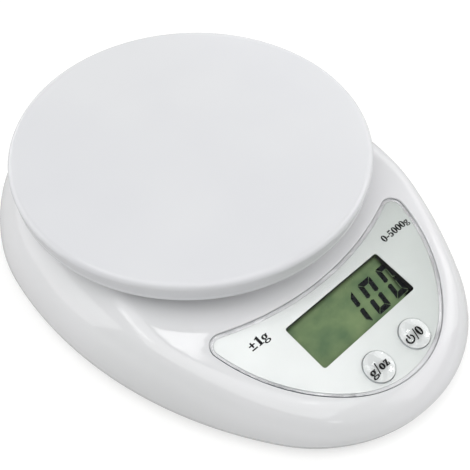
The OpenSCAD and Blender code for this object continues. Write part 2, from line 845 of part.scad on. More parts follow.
// Steel bracket from the free end of the load cell back to the hub
module bracket_plate() {
    color("silver") difference() {
        block(-hub_d / 2 - 3, cell_l / 2, platter_y - bracket_w / 2, platter_y + bracket_w / 2,
              bracket_z, hub_z);
        for (x = cell_hole_x) post([x, platter_y], cell_screw_d + 2 * screw_gap, bracket_z - cut, hub_z + cut);
        for (s = [-1, 1])
            post([0, platter_y + s * hub_screw_y], hub_screw_d + 2 * screw_gap, bracket_z - cut, hub_z + cut);
    }
}

// Post that passes through the deck and carries the platter carrier
module hub_post() {
    color("whitesmoke") difference() {
        union() {
            post([0, platter_y], hub_d, hub_z, carrier_z);
            post([0, platter_y], bracket_w, hub_z, hub_z + hub_flange_h);
        }
        post([0, platter_y], cell_screw_d + 2 * screw_gap, carrier_z - carrier_screw_l - 2, carrier_z + cut);
        for (s = [-1, 1])
            post([0, platter_y + s * hub_screw_y], hub_screw_d + 2 * screw_gap, hub_z - cut,
                 hub_z + hub_flange_h + cut);
    }
}

module hub_screws() {
    color("silver") for (s = [-1, 1]) {
        post([0, platter_y + s * hub_screw_y], hub_screw_head, bracket_z - hub_screw_head_h, bracket_z);
        post([0, platter_y + s * hub_screw_y], hub_screw_d, bracket_z - eps, hub_z + hub_flange_h - 0.1);
    }
}

// Cross of four arms; each carries a rubber pad at its end
module platter_carrier() {
    color("whitesmoke") difference() {
        union() {
            post([0, platter_y], carrier_d, carrier_z, carrier_z + arm_t);
            for (a = [0:90:270]) translate([0, platter_y, carrier_z]) rotate(a) {
                block(0, pad_circle, -arm_w / 2, arm_w / 2, 0, arm_t);
                translate([pad_circle, 0, 0]) cylinder(d = max(arm_w, pad_d + 2), h = arm_t);
                block(hub_d / 2 + 1, pad_circle, -stiffener.x / 2, stiffener.x / 2, -stiffener.y, eps);
            }
        }
        for (a = [0:90:270]) translate([0, platter_y, carrier_z + arm_t - pad_recess]) rotate(a)
            translate([pad_circle, 0, 0]) cylinder(d = pad_d + 2 * pad_gap, h = pad_recess + cut);
        post([0, platter_y], cell_screw_d + 2 * screw_gap, carrier_z - cut, carrier_z + arm_t);
        post([0, platter_y], cell_head_d + 2 * head_gap, carrier_z + arm_t - counterbore,
             carrier_z + arm_t + cut);
    }
}

module carrier_screw() {
    head_z = carrier_z + arm_t - counterbore;
    color("silver") difference() {
        union() {
            post([0, platter_y], cell_head_d, head_z, head_z + counterbore - 0.1);
            post([0, platter_y], cell_screw_d, carrier_z - carrier_screw_l, head_z + eps);
        }
        translate([0, platter_y, head_z + counterbore / 2]) cross_slot(cell_screw_d, counterbore);
    }
}

module carrier_pads() {
    color("dimgray") for (a = [0:90:270]) translate([0, platter_y, 0]) rotate(a)
        post([pad_circle, 0], pad_d, carrier_z + arm_t - pad_recess, skin_z);
}

// Hollow platter: flat top, rounded edge and, underneath, ribs and a ring that fits round the carrier
module weighing_platter() {
    r = platter_d / 2;
    ring_r = carrier_d / 2 + 0.4;
    ring_t = 2;
    ring_z = carrier_z + 0.6;
    platter_rib = 1.6;
    foot_round = 0.8;
    color("white") translate([0, platter_y, 0]) {
        rotate_extrude($fn = 180) polygon([
            [0, skin_z], [0, platter_top],
            each arc([r - platter_round, platter_top - platter_round], platter_round, 90, 0, 8),
            each arc([r - platter_draft - foot_round, rim_z + foot_round], foot_round, 0, -90, 4),
            [r - platter_t - platter_draft, rim_z],
            [r - platter_t - platter_draft / 4, skin_z]
        ]);
        difference() {
            translate([0, 0, ring_z]) cylinder(r = ring_r + ring_t, h = skin_z - ring_z + eps);
            translate([0, 0, ring_z - cut]) cylinder(r = ring_r, h = skin_z - ring_z + cut);
            for (a = [0, 90]) rotate(a)
                block(-2 * ring_r, 2 * ring_r, -arm_w / 2 - 0.5, arm_w / 2 + 0.5, ring_z - cut, skin_z);
        }
        for (a = [45:90:315]) rotate(a)
            block(ring_r + ring_t - 0.5, r - platter_t - platter_draft, -platter_rib / 2, platter_rib / 2,
                  ring_z, skin_z + eps);
    }
}

// Battery cell along X; its nub points to +X when turn is 1 and to -X when turn is -1
module battery_cell(turn) {
    at_y = bay_y + turn * battery_step;
    nub_x = bay_l / 2 - contact_t - nub_gap;
    color(turn > 0 ? "goldenrod" : "darkgoldenrod") translate([0, at_y, battery_z])
        rotate([0, turn * 90, 0]) {
            translate([0, 0, nub_x - battery_l]) cylinder(d = battery_d, h = battery_l - battery_nub);
            translate([0, 0, nub_x - battery_nub - eps]) cylinder(d = battery_nub_d, h = battery_nub + eps);
        }
}

module battery_cell_rear() battery_cell(1);
module battery_cell_front() battery_cell(-1);

// Sweeps a round tube of the given sides along a path, without twist
function turned(n, t) = unit(n - (n * t) * t);
function path_tangent(p, i) = unit(p[min(i + 1, len(p) - 1)] - p[max(i - 1, 0)]);
function normals(p, i = 0, n = undef) = i == len(p) ? [] :
    let (t = path_tangent(p, i), m = turned(is_undef(n) ? (abs(t.z) < 0.9 ? [0, 0, 1] : [1, 0, 0]) : n, t))
    [m, each normals(p, i + 1, m)];

module tube(path, d, sides) {
    n = normals(path);
    last = (len(path) - 1) * sides;
    points = [
        for (i = [0:len(path) - 1]) let (t = path_tangent(path, i), b = cross(t, n[i]))
            for (k = [0:sides - 1]) let (a = 360 * k / sides) path[i] + d / 2 * (cos(a) * n[i] + sin(a) * b)
    ];
    walls = [
        for (i = [0:len(path) - 2]) for (k = [0:sides - 1])
            let (a = i * sides + k, b = i * sides + (k + 1) % sides)
            each [[a, b + sides, b], [a, a + sides, b + sides]]
    ];
    ends = [for (k = [1:sides - 2]) each [[0, k, k + 1], [last, last + k + 1, last + k]]];
    polyhedron(points = points, faces = concat(walls, ends), convexity = 8);
}

// Conical coil spring: one unbroken tube between the contact plate and the flat end of a cell
spring_len = spring_room - 0.1;
spring_r0 = 4.6;
spring_r1 = 2.8;
rings_per_turn = 8;
function coil(turns) = let (n = turns * rings_per_turn) [
    for (i = [0:n]) let (t = i / n, a = 360 * i / rings_per_turn, r = spring_r0 + t * (spring_r1 - spring_r0))
        [spring_wire / 2 + t * (spring_len - spring_wire), r * cos(a), r * sin(a)]
];
spring_path = coil(spring_turns);
spring_gap = min([for (i = [0:len(spring_path) - 1]) for (j = [i + rings_per_turn / 2:1:len(spring_path) - 1])
    norm(spring_path[i] - spring_path[j])]) - spring_wire;
echo(least_gap_of_spring = spring_gap);

module battery_spring(turn) {
    color("silver") translate([0, bay_y + turn * battery_step, battery_z]) rotate([0, 0, turn > 0 ? 0 : 180])
        translate([-contact_x + 0.05, 0, 0]) tube(spring_path, spring_wire, 6);
}

module battery_spring_link() battery_spring(1);
module battery_spring_negative() battery_spring(-1);

// Sheet metal contact against an end wall of the bay
module contact(side, y0, y1, button_at) {
    x0 = side > 0 ? contact_x : -contact_x - contact_t;
    color("silver") {
        block(x0, x0 + contact_t, y0, y1, contact_low, contact_high);
        if (is_num(button_at)) translate([side * contact_x, button_at, battery_z]) rotate([0, -side * 90, 0])
            translate([0, 0, -eps]) cylinder(d = contact_button_d, h = nub_gap - 0.05);
    }
}

module battery_contact_link() {
    contact(-1, bay_y - bay_w / 2 + 1, bay_y + bay_w / 2 - 1, bay_y - battery_step);
}

module terminal(turn) {
    y = bay_y + turn * battery_step;
    contact(1, y - contact_w / 2, y + contact_w / 2, turn > 0 ? y : undef);
    // Solder tab through the end wall
    color("silver") block(contact_x, tab_x1, y - tab_w / 2, y + tab_w / 2, tab_top - contact_t, tab_top);
}

module battery_contact_positive() terminal(1);
module battery_contact_negative() terminal(-1);

// Wires: round-number routes, rounded between their points
function blend(a, b, c, d, t) = 0.5 * (2 * b + (c - a) * t + (2 * a - 5 * b + 4 * c - d) * t ^ 2
    + (3 * b - a - 3 * c + d) * t ^ 3);
function rounded(p) = [
    for (i = [0:len(p) - 2]) let (a = p[max(i - 1, 0)], d = p[min(i + 2, len(p) - 1)])
        for (t = [0, 0.5]) blend(a, p[i], p[i + 1], d, t),
    p[len(p) - 1]
];

module wire(route, tint) {
    color(tint) tube(rounded(route), wire_d, 8);
}

// Point above the top of the board, at u and v on the panel plane
function on_board(u, v, lift) = [
    u,
    panel_y + v * cos(panel_tilt) - (board_z + lift) * sin(panel_tilt),
    panel_z + v * sin(panel_tilt) + (board_z + lift) * cos(panel_tilt)
];

// Last points of a wire, straight down into its solder pad on the board
wire_pad_v = 17.6;
function to_pad(u) = [for (lift = [3.6, 1.6, 0.02]) on_board(u, wire_pad_v, lift)];

// One of four wires side by side, from the load cell over the battery bay to the board
module gauge_wire(i, tint) {
    x = lead_x + 1 + 2 * i;
    root_z = cell_top + wire_d / 2 + 0.1;
    over_z = bay_top + bay_wall + 1.8;
    side_y = platter_y - cell_w / 2;
    bay_edge = bay_y - bay_w / 2 - bay_wall;
    wire([
        [x, platter_y - sealant_w, root_z], [x, side_y - 0.6, root_z], [x, side_y - 5, cell_top - 0.7],
        [x - 0.6, bay_y + 22, over_z + 0.5], [x - 1.6, bay_y + 8, over_z], [x - 2.6, bay_y - 6, over_z],
        [x - 3.1, bay_edge - 1, over_z], each to_pad(x - 3.6)
    ], tint);
}

module gauge_wire_red() gauge_wire(0, "red");
module gauge_wire_black() gauge_wire(1, "black");
module gauge_wire_green() gauge_wire(2, "green");
module gauge_wire_white() gauge_wire(3, "white");

// Wire from a solder tab round the end of the bay to the board: it starts level on the tab
module battery_wire(turn, tint, bends, pad_u) {
    start = [tab_x1, bay_y + turn * battery_step, tab_top + wire_d / 2 + 0.1];
    wire([start - [1.4, 0, 0], start, for (b = bends) start + b, each to_pad(pad_u)], tint);
}

module battery_wire_red() battery_wire(1, "red", [[5, -2, 1], [8, -10, 1.5], [7, -21, 3], [0, -30, 4]], 26);
module battery_wire_black() battery_wire(-1, "black", [[3, -4, 1], [0.5, -10, 2.5], [-5.5, -15.5, 4]], 22);

// Battery door: plate, two hooks in front and a springy latch behind
module battery_door() {
    top = base_z + door_t;
    hook_z = floor_z + door_gap;
    color("gainsboro") {
        translate([0, 0, base_z]) linear_extrude(door_t) polygon([
            [-door_l / 2, hinge_y], [door_l / 2, hinge_y],
            each arc([door_l / 2 - door_round, hinge_y + door_w - door_round], door_round, 0, 90, 6),
            each arc([door_round - door_l / 2, hinge_y + door_w - door_round], door_round, 90, 180, 6)
        ]);
        for (s = [-1, 1]) {
            x0 = s * hook_x - hook_w / 2;
            block(x0, x0 + hook_w, hinge_y + 2 * door_gap, hinge_y + 2.2, top - eps, hook_z + hook_t);
            block(x0, x0 + hook_w, hinge_y - 3, hinge_y + 2.2, hook_z, hook_z + hook_t);
        }
        latch_y = bay_y + bay_w / 2 + door_gap;
        block(-latch_w / 2, latch_w / 2, latch_y, latch_y + latch_t, top - eps, floor_z + latch_h);
    }
}

lower_shell();
upper_shell();
panel_cover();
panel_film();
lcd_frame();
lcd_glass();
lcd_reflector();
lcd_connectors();
circuit_board();
chip_blob();
board_components();
switch_unit();
switch_power();
board_screws();
shell_screws();
load_cell();
strain_gauges();
load_cell_spacer_fixed();
load_cell_screws_fixed();
gauge_wire_red();
gauge_wire_black();
gauge_wire_green();
gauge_wire_white();
foot_front_left();
foot_front_right();
foot_rear_left();
foot_rear_right();
battery_cell_rear();
battery_cell_front();
battery_spring_link();
battery_spring_negative();
battery_contact_link();
battery_contact_positive();
battery_contact_negative();
battery_wire_red();
battery_wire_black();
load_cell_spacer_free();
load_cell_screws_free();
bracket_plate();
hub_post();
hub_screws();
platter_carrier();
carrier_screw();
carrier_pads();
weighing_platter();
button_unit();
plunger_unit();
button_power();
plunger_power();
battery_door();
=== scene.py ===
import math

import bmesh
import bpy
from mathutils import Matrix, Vector
from mathutils.geometry import delaunay_2d_cdt
from mathutils.kdtree import KDTree


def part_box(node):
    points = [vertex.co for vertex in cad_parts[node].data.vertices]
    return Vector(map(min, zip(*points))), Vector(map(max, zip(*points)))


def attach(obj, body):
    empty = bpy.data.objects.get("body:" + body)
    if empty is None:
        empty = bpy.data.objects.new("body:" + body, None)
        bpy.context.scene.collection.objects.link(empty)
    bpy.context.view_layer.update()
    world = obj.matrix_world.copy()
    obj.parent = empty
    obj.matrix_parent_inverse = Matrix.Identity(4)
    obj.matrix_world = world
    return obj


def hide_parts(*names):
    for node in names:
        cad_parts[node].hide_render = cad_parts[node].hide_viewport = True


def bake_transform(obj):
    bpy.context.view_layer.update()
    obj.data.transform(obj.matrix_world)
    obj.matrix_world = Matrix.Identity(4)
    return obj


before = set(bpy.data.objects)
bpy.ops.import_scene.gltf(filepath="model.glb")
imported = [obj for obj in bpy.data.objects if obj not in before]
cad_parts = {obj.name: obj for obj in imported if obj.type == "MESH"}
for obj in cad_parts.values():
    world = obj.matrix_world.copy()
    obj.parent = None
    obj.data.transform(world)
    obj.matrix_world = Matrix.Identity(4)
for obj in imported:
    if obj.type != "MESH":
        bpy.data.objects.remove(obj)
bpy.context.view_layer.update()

# Studio: the camera looks down at the front left of the scale, which stands on a pale floor.
# The camera's place is worked out from the middle of the platter's top.
# All sizes are in millimetres, and colours are a colour chart's values of 0 to 255.
MM = 0.001
platter_low, platter_high = (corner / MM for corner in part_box("weighing_platter"))
platter_centre = Vector((
    (platter_low.x + platter_high.x) / 2, (platter_low.y + platter_high.y) / 2, platter_high.z
))
camera_azimuth, camera_elevation, camera_roll = -43.9, 50.1, math.radians(0.11)
camera_distance = 330
platter_right, platter_down = -18.0, -39.1
sensor_width, focal_share, near_clip, far_clip = 36, 800 / 470, 10, 20000


def towards(azimuth, elevation):
    """Unit vector at an azimuth from the front, turning right, and an elevation, in degrees."""
    azimuth, elevation = math.radians(azimuth), math.radians(elevation)
    return Vector((
        math.sin(azimuth) * math.cos(elevation),
        -math.cos(azimuth) * math.cos(elevation),
        math.sin(elevation),
    ))


def placed(name, data):
    """A new object of the scene that shows a mesh, or holds a lamp or the camera."""
    placed_object = bpy.data.objects.new(name, data)
    bpy.context.scene.collection.objects.link(placed_object)
    return placed_object


camera_back = towards(camera_azimuth, camera_elevation)
level_right = towards(camera_azimuth + 90, 0)
level_up = camera_back.cross(level_right)
camera_right = level_right * math.cos(camera_roll) + level_up * math.sin(camera_roll)
camera_up = level_up * math.cos(camera_roll) - level_right * math.sin(camera_roll)
camera_place = (
    platter_centre + camera_back * camera_distance
    - camera_right * platter_right + camera_up * platter_down
)

camera_lens = bpy.data.cameras.new("camera")
camera_lens.sensor_width = sensor_width
camera_lens.lens = sensor_width * focal_share
camera_lens.clip_start, camera_lens.clip_end = near_clip * MM, far_clip * MM
camera = placed("camera", camera_lens)
camera.matrix_world = (
    Matrix.Translation(camera_place * MM)
    @ Matrix((camera_right, camera_up, camera_back)).transposed().to_4x4()
)
bpy.context.scene.camera = camera
bpy.context.scene.view_settings.view_transform = "Standard"


def linear(red, green, blue):
    """Colour for a shader's socket from the values of a colour chart."""
    return tuple(
        v / 12.92 if v <= 0.04045 else ((v + 0.055) / 1.055) ** 2.4
        for v in (red / 255, green / 255, blue / 255)
    ) + (1.0,)


def with_values(node, **values):
    """The shader node with plain values on its sockets. An underscore stands for a space."""
    for socket, value in values.items():
        node.inputs[socket.replace("_", " ")].default_value = value
    return node


def added(shader, kind, **values):
    """A new node beside the shader, in the same material."""
    return with_values(shader.id_data.nodes.new("ShaderNode" + kind), **values)


def linked(*pairs):
    """Joins each output to its input."""
    for source, target in pairs:
        target.id_data.links.new(source, target)


def new_finish(name, colour, roughness, specular=0.5):
    """A material and its shader, with plain values on the shader's own sockets."""
    material = bpy.data.materials.new(name)
    material.use_nodes = True
    return material, with_values(
        material.node_tree.nodes["Principled BSDF"],
        Base_Color=linear(*colour), Roughness=roughness, Specular_IOR_Level=specular,
    )


def surface_of(shader):
    return shader.id_data.nodes["Material Output"].inputs["Surface"]


floor_size, floor_squares, floor_drop = 3000, 24, 0.1
near_glow, far_glow, near_radius, far_radius = 0.46, 1.0, 350, 1600
floor_shape = bmesh.new()
bmesh.ops.create_grid(
    floor_shape, x_segments=floor_squares, y_segments=floor_squares, size=floor_size * MM
)
floor_mesh = bpy.data.meshes.new("studio_floor")
floor_shape.to_mesh(floor_mesh)
floor_shape.free()
floor = placed("studio_floor", floor_mesh)
floor.location.z = -floor_drop * MM

# The floor's glow is for rays straight from the camera alone. It grows with the distance.
floor_paint, shader = new_finish("floor_paint", (203, 203, 202), 0.9, 0.1)
glow = added(shader, "Emission", Color=(1, 1, 1, 1))
distance = added(shader, "VectorMath")
distance.operation = "LENGTH"
level = added(
    shader, "MapRange", From_Min=near_radius * MM, From_Max=far_radius * MM,
    To_Min=near_glow, To_Max=far_glow,
)
seen = added(shader, "Math")
seen.operation = "MULTIPLY"
both = added(shader, "AddShader")
linked(
    (added(shader, "TexCoord").outputs["Object"], distance.inputs[0]),
    (distance.outputs["Value"], level.inputs["Value"]),
    (added(shader, "LightPath").outputs["Is Camera Ray"], seen.inputs[0]),
    (level.outputs["Result"], seen.inputs[1]),
    (seen.outputs["Value"], glow.inputs["Strength"]),
    (shader.outputs["BSDF"], both.inputs[0]),
    (glow.outputs["Emission"], both.inputs[1]),
    (both.outputs["Shader"], surface_of(shader)),
)
floor_mesh.materials.append(floor_paint)

room_light, backdrop_level = 0.08, 1.0
studio = bpy.data.worlds.new("studio")
bpy.context.scene.world = studio
studio.use_nodes = True
room = with_values(studio.node_tree.nodes["Background"], Color=(1, 1, 1, 1))
level = added(room, "MapRange", To_Min=room_light, To_Max=backdrop_level)
linked(
    (added(room, "LightPath").outputs["Is Camera Ray"], level.inputs["Value"]),
    (level.outputs["Result"], room.inputs["Strength"]),
)

# Six softboxes light the scale. Two panes and two strips mirror in the shell beside the panel.
lamp_distance = 1200
middle, left_of_panel = (0, 0, 30), (-59, -31, 31)
front_shoulder, front_side = (-41, -84, 21), (-37, -94, 17)
for name, azimuth, elevation, width, height, power, aim in (
    ("key_softbox", 300, 66, 1700, 1500, 14.2, middle),
    ("rear_left_softbox", 212, 14, 1800, 700, 6.2, middle),
    ("front_right_softbox", 48, 30, 1300, 600, 3.0, middle),
    ("front_softbox", 0, 32, 1200, 600, 0.7, middle),
    ("low_right_softbox", 95, 24, 2000, 900, 7.6, middle),
    ("rear_softbox", 165, 22, 1500, 600, 1.3, middle),
    ("window_pane", 113.5, 68.5, 150, 200, 0.5, left_of_panel),
    ("window_side_pane", 245, 52, 360, 200, 0.5, left_of_panel),
    ("strip_front", 19, 71, 130, 60, 0.12, front_shoulder),
    ("strip_low", 340, 25, 130, 70, 0.12, front_side),
):
    lamp = bpy.data.lights.new(name, "AREA")
    lamp.shape = "RECTANGLE"
    lamp.size, lamp.size_y = width * MM, height * MM
    lamp.energy = power
    stand = placed(name, lamp)
    stand.location = (Vector(aim) + towards(azimuth, elevation) * lamp_distance) * MM
    stand.rotation_mode = "QUATERNION"
    stand.rotation_quaternion = (-towards(azimuth, elevation)).to_track_quat("-Z", "Y")

# Lower shell: a shallow injection-moulded tray of white ABS, screwed to the upper shell from below.
# It carries the load cell's seat, the battery bay, the posts of the screws and the feet's recesses.
rear_radius, front_radius, side_radius = 83, 66, 170
rear_centre, front_centre = Vector((0, 29)), Vector((0, -46))
side_centre = Vector((-85.5434, 13.1467))
rear_turn, front_turn = (
    math.atan2(centre.y - side_centre.y, -side_centre.x) for centre in (rear_centre, front_centre)
)
seam_height, base_height, floor_height = 7.5, 1.5, 3.7
base_round, seam_step = 5, 0.3
bay_y, bay_length, bay_width, bay_wall = -20, 61.4, 30.6, 1.6
bay_floor, bay_top = 3.6, 18.6
bay_x, bay_front, bay_rear = bay_length / 2, bay_y - bay_width / 2, bay_y + bay_width / 2
door_length, door_width, door_gap = 65.4, 35.2, 0.3
door_x, hinge_y = door_length / 2, bay_y - door_width / 2
hook_x, hook_half_width, hook_play, hook_slot_top = 18, 3, 0.5, floor_height + 5
latch_half_width, latch_play, latch_slot_top = 5, 0.8, floor_height + 9
battery_step, battery_axis = 7.4, 10.95
tab_top, tab_half_width, slot_overlap, slot_above, slot_below = 15.85, 2, 0.2, 0.5, 0.9
shell_edge, lip_thickness, lip_top, edge_low, floor_inset = 3.8, 1, 8.7, 5.2, 5.2
boss_inset, boss_diameter, boss_top = 11, 8, 10.4
load_cell_y = platter_centre.y
seat_left, seat_right, seat_half_width, seat_top = -42, -18, 9.35, 9.5
load_cell_screws = (-35, -25)
stop_x, stop_diameter, stop_top = 30, 5, 10.6
foot_places = [(-38, -64), (38, -64), (-44, 67), (44, 67)]
root = floor_height - 0.5


def arc_points(centre, radius, start, end, steps):
    """Points along an arc without its last one, each with its direction from the centre."""
    return [
        (centre.x + radius * math.cos(a), centre.y + radius * math.sin(a), a)
        for a in (start + (end - start) * i / steps for i in range(steps))
    ]


# The outline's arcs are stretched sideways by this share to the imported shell's width.
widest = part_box("upper_shell")[1].x / MM / (side_centre.x + side_radius)


def egg_outline(rear_steps, side_steps, front_steps):
    """The housing from above, as [x, y, direction of the outward normal], clockwise from behind."""
    right = (
        arc_points(rear_centre, rear_radius, math.pi / 2, rear_turn, rear_steps)
        + arc_points(side_centre, side_radius, rear_turn, front_turn, side_steps)
        + arc_points(front_centre, front_radius, front_turn, -math.pi / 2, front_steps)
        + [(0, front_centre.y - front_radius, -math.pi / 2)]
    )
    right = [(x * widest, y, a) for x, y, a in right]
    return right + [(-x, y, math.pi - a) for x, y, a in reversed(right[1:-1])]


fine_outline = egg_outline(48, 44, 40)
plain_outline = egg_outline(24, 20, 20)


def level_ring(outline, height, inward):
    return [(x - inward * math.cos(a), y - inward * math.sin(a), height) for x, y, a in outline]


def new_piece(name, points, faces):
    """A mesh object from points in millimetres, with its faces turned outwards."""
    mesh = bpy.data.meshes.new(name)
    mesh.from_pydata([[c * MM for c in p] for p in points], [], [list(f) for f in faces])
    shape = bmesh.new()
    shape.from_mesh(mesh)
    bmesh.ops.recalc_face_normals(shape, faces=shape.faces)
    shape.to_mesh(mesh)
    shape.free()
    return placed(name, mesh)


def ring_faces(count, rings):
    return [
        (k * count + i, k * count + (i + 1) % count,
         (k + 1) * count + (i + 1) % count, (k + 1) * count + i)
        for k in range(rings - 1) for i in range(count)
    ]


def lofted(name, rings):
    """A closed solid through level or tilted rings with flat ends."""
    count = len(rings[0])
    last = (len(rings) - 1) * count
    ends = [tuple(range(count)), tuple(range(last, last + count))]
    faces = ring_faces(count, len(rings)) + ends
    return new_piece(name, [p for ring in rings for p in ring], faces)


def egg_ends(count, first):
    """Strips from side to side that close an outline with equal left and right sides."""
    half = count // 2
    strips = [(0, 1, count - 1), (half - 1, half, half + 1)]
    strips += [(i, i + 1, count - i - 1, count - i) for i in range(1, half - 1)]
    return [tuple(first + i for i in strip) for strip in strips]


def egg_lofted(name, rings):
    """A closed solid through rings of the housing's outline."""
    count = len(rings[0])
    faces = ring_faces(count, len(rings))
    faces += egg_ends(count, 0) + egg_ends(count, (len(rings) - 1) * count)
    return new_piece(name, [p for ring in rings for p in ring], faces)


def settled(piece):
    """Applies the piece's modifiers to its mesh."""
    graph = bpy.context.evaluated_depsgraph_get()
    mesh = bpy.data.meshes.new_from_object(piece.evaluated_get(graph))
    piece.modifiers.clear()
    piece.data = mesh
    return piece


def combined(piece, tool, operation="DIFFERENCE"):
    """Cuts the tool out of the piece, or joins it on, and removes the tool."""
    step = piece.modifiers.new(operation, "BOOLEAN")
    step.operation, step.object, step.solver = operation, tool, "EXACT"
    settled(piece)
    bpy.data.objects.remove(tool)


def box_block(x0, x1, y0, y1, z0, z1):
    corners = [(x0, y0), (x1, y0), (x1, y1), (x0, y1)]
    return lofted("block", [[(x, y, z) for x, y in corners] for z in (z0, z1)])


def circle(x, y, radius, steps):
    """Points round a circle in a plane."""
    return [
        (x + radius * math.cos(a), y + radius * math.sin(a))
        for a in (math.tau * i / steps for i in range(steps))
    ]


def turned(name, profile, centre, steps=96):
    """A solid turned about an upright axis, from a profile of (radius, height)."""
    return lofted(name, [[(x, y, z) for x, y in circle(*centre, r, steps)] for r, z in profile])


def post(centre, diameter, low, high, steps=48):
    return turned("post", [(diameter / 2, low), (diameter / 2, high)], centre, steps)


def joined(pieces):
    """One object of several meshes that don't touch."""
    shape = bmesh.new()
    for piece in pieces:
        shape.from_mesh(piece.data)
    first = pieces[0]
    shape.to_mesh(first.data)
    shape.free()
    for piece in pieces[1:]:
        bpy.data.objects.remove(piece)
    return first


def smoothed(piece, angle=32):
    """Smooth shading, apart from edges sharper than the angle."""
    piece.data.shade_smooth()
    piece.data.set_sharp_from_angle(angle=math.radians(angle))
    return piece


def softened(piece, width):
    """Small rounded edges, as a mould or a tool leaves them."""
    step = piece.modifiers.new("round", "BEVEL")
    step.width, step.segments = width * MM, 2
    step.limit_method, step.angle_limit = "ANGLE", math.radians(35)
    step.miter_outer = "MITER_ARC"
    return settled(piece)


def fitted(piece, body, material, slot, *nodes):
    """Gives a new piece its material, its body and the nodes that it stands for."""
    piece.data.materials.clear()
    piece.data.materials.append(material)
    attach(piece, body)
    if nodes:
        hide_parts(*nodes)
    return piece


def cloud(shader, size, detail=2.0, stretch=(1, 1, 1)):
    """Noise over the piece's own coordinates, with features of about this size."""
    place = added(shader, "TexCoord")
    scale = added(shader, "Mapping", Scale=stretch)
    noise = added(shader, "TexNoise", Scale=1 / (size * MM), Detail=detail)
    linked(
        (place.outputs["Object"], scale.inputs["Vector"]),
        (scale.outputs["Vector"], noise.inputs["Vector"]),
    )
    return noise.outputs["Fac"]


def tinted(shader, factor, low, high, start=0.35, end=0.65):
    """Base colour that drifts between two tints."""
    ramp = added(shader, "ValToRGB")
    for stop, position, tint in zip(ramp.color_ramp.elements, (start, end), (low, high)):
        stop.position, stop.color = position, linear(*tint)
    linked((factor, ramp.inputs["Fac"]), (ramp.outputs["Color"], shader.inputs["Base Color"]))


def varied_gloss(shader, factor, low, high):
    """Roughness that drifts between two values."""
    spread = added(shader, "MapRange", From_Min=0.35, From_Max=0.65, To_Min=low, To_Max=high)
    linked((factor, spread.inputs["Value"]), (spread.outputs["Result"], shader.inputs["Roughness"]))


def relief(shader, height, depth):
    """Fine bumps of this depth."""
    bump = added(shader, "Bump", Distance=depth * MM)
    linked((height, bump.inputs["Height"]), (bump.outputs["Normal"], shader.inputs["Normal"]))


def moulded_plastic(name, low, high, gloss, drift, grain, depth, specular=0.5):
    """Moulded plastic: a slow drift of tint and gloss, and the fine grain of the mould."""
    material, shader = new_finish(name, high, gloss[0], specular)
    tinted(shader, cloud(shader, drift), low, high)
    varied_gloss(shader, cloud(shader, drift / 3, 4), *gloss)
    relief(shader, cloud(shader, grain, 3), depth)
    return material


shell_finish = moulded_plastic(
    "shell_plastic", (225, 226, 227), (230, 230, 232),
    gloss=(0.05, 0.09), drift=60, grain=7, depth=0.006,
)

tray = egg_lofted("lower_shell_tray", [
    level_ring(fine_outline, seam_height - (seam_height - base_height) * math.sin(a),
               seam_step + base_round * (1 - math.cos(a)))
    for a in (math.pi / 2 * (1 - i / 10) for i in range(11))
] + [
    level_ring(fine_outline, height, inward) for height, inward in (
        (seam_height, shell_edge - lip_thickness), (lip_top, shell_edge - lip_thickness),
        (lip_top, shell_edge), (edge_low, shell_edge), (floor_height, floor_inset),
    )
])
shell_bosses = [
    (side * (centre.x + (radius - boss_inset) * math.cos(math.radians(turn))),
     centre.y + (radius - boss_inset) * math.sin(math.radians(turn)))
    for side in (-1, 1) for centre, radius, turn in (
        (rear_centre, rear_radius, 48), (side_centre, side_radius, -4.75),
        (front_centre, front_radius, -38),
    )
]
combined(tray, joined(
    [post(at, boss_diameter, root, boss_top) for at in shell_bosses]
    + [post((stop_x, load_cell_y), stop_diameter, root, stop_top)]
    + [box_block(seat_left, seat_right, load_cell_y - seat_half_width,
                 load_cell_y + seat_half_width, root, seat_top)]
), "UNION")
combined(tray, box_block(
    -bay_x - bay_wall, bay_x + bay_wall, bay_front - bay_wall, bay_rear + bay_wall,
    root, bay_top + bay_wall,
), "UNION")
combined(tray, box_block(-bay_x, bay_x, bay_front, bay_rear, 0, bay_top))
combined(tray, box_block(
    -door_x - door_gap, door_x + door_gap, hinge_y - door_gap, hinge_y + door_width + door_gap,
    0, bay_floor,
))

# Slots for the door's hooks, for its latch and for the solder tabs of the contacts
slots = [
    box_block(x - hook_half_width - hook_play, x + hook_half_width + hook_play,
              hinge_y - door_gap, bay_front + slot_overlap, 0, hook_slot_top)
    for x in (-hook_x, hook_x)
]
slots.append(box_block(
    -latch_half_width - latch_play, latch_half_width + latch_play,
    bay_rear - slot_overlap, hinge_y + door_width + door_gap, 0, latch_slot_top,
))
slots += [
    box_block(bay_x - 1, bay_x + bay_wall + 1, y - tab_half_width, y + tab_half_width,
              tab_top - slot_below, tab_top + slot_above)
    for y in (bay_y - battery_step, bay_y + battery_step)
]
combined(tray, joined(slots))

# Wells for the screws, wide for the head and narrow for the shank, and recesses for the feet
shell_well = [
    (3.6, 0), (3.6, base_height), (3.3, base_height + 0.3), (3.3, 6), (1.55, 6), (1.55, 12)
]
load_cell_well = [(4.05, 0), (4.05, 5), (2.05, 5), (2.05, 11)]
foot_recess = [(6.4, 0), (6.4, base_height), (6.1, base_height + 0.3), (6.1, 2.5)]
combined(tray, joined([
    turned("well", profile, at) for profile, places in (
        (shell_well, shell_bosses),
        (load_cell_well, [(x, load_cell_y) for x in load_cell_screws]),
        (foot_recess, foot_places),
    ) for at in places
]))
tray.name = "lower_housing"
fitted(smoothed(tray), "housing", shell_finish, "shell_plastic", "lower_shell")

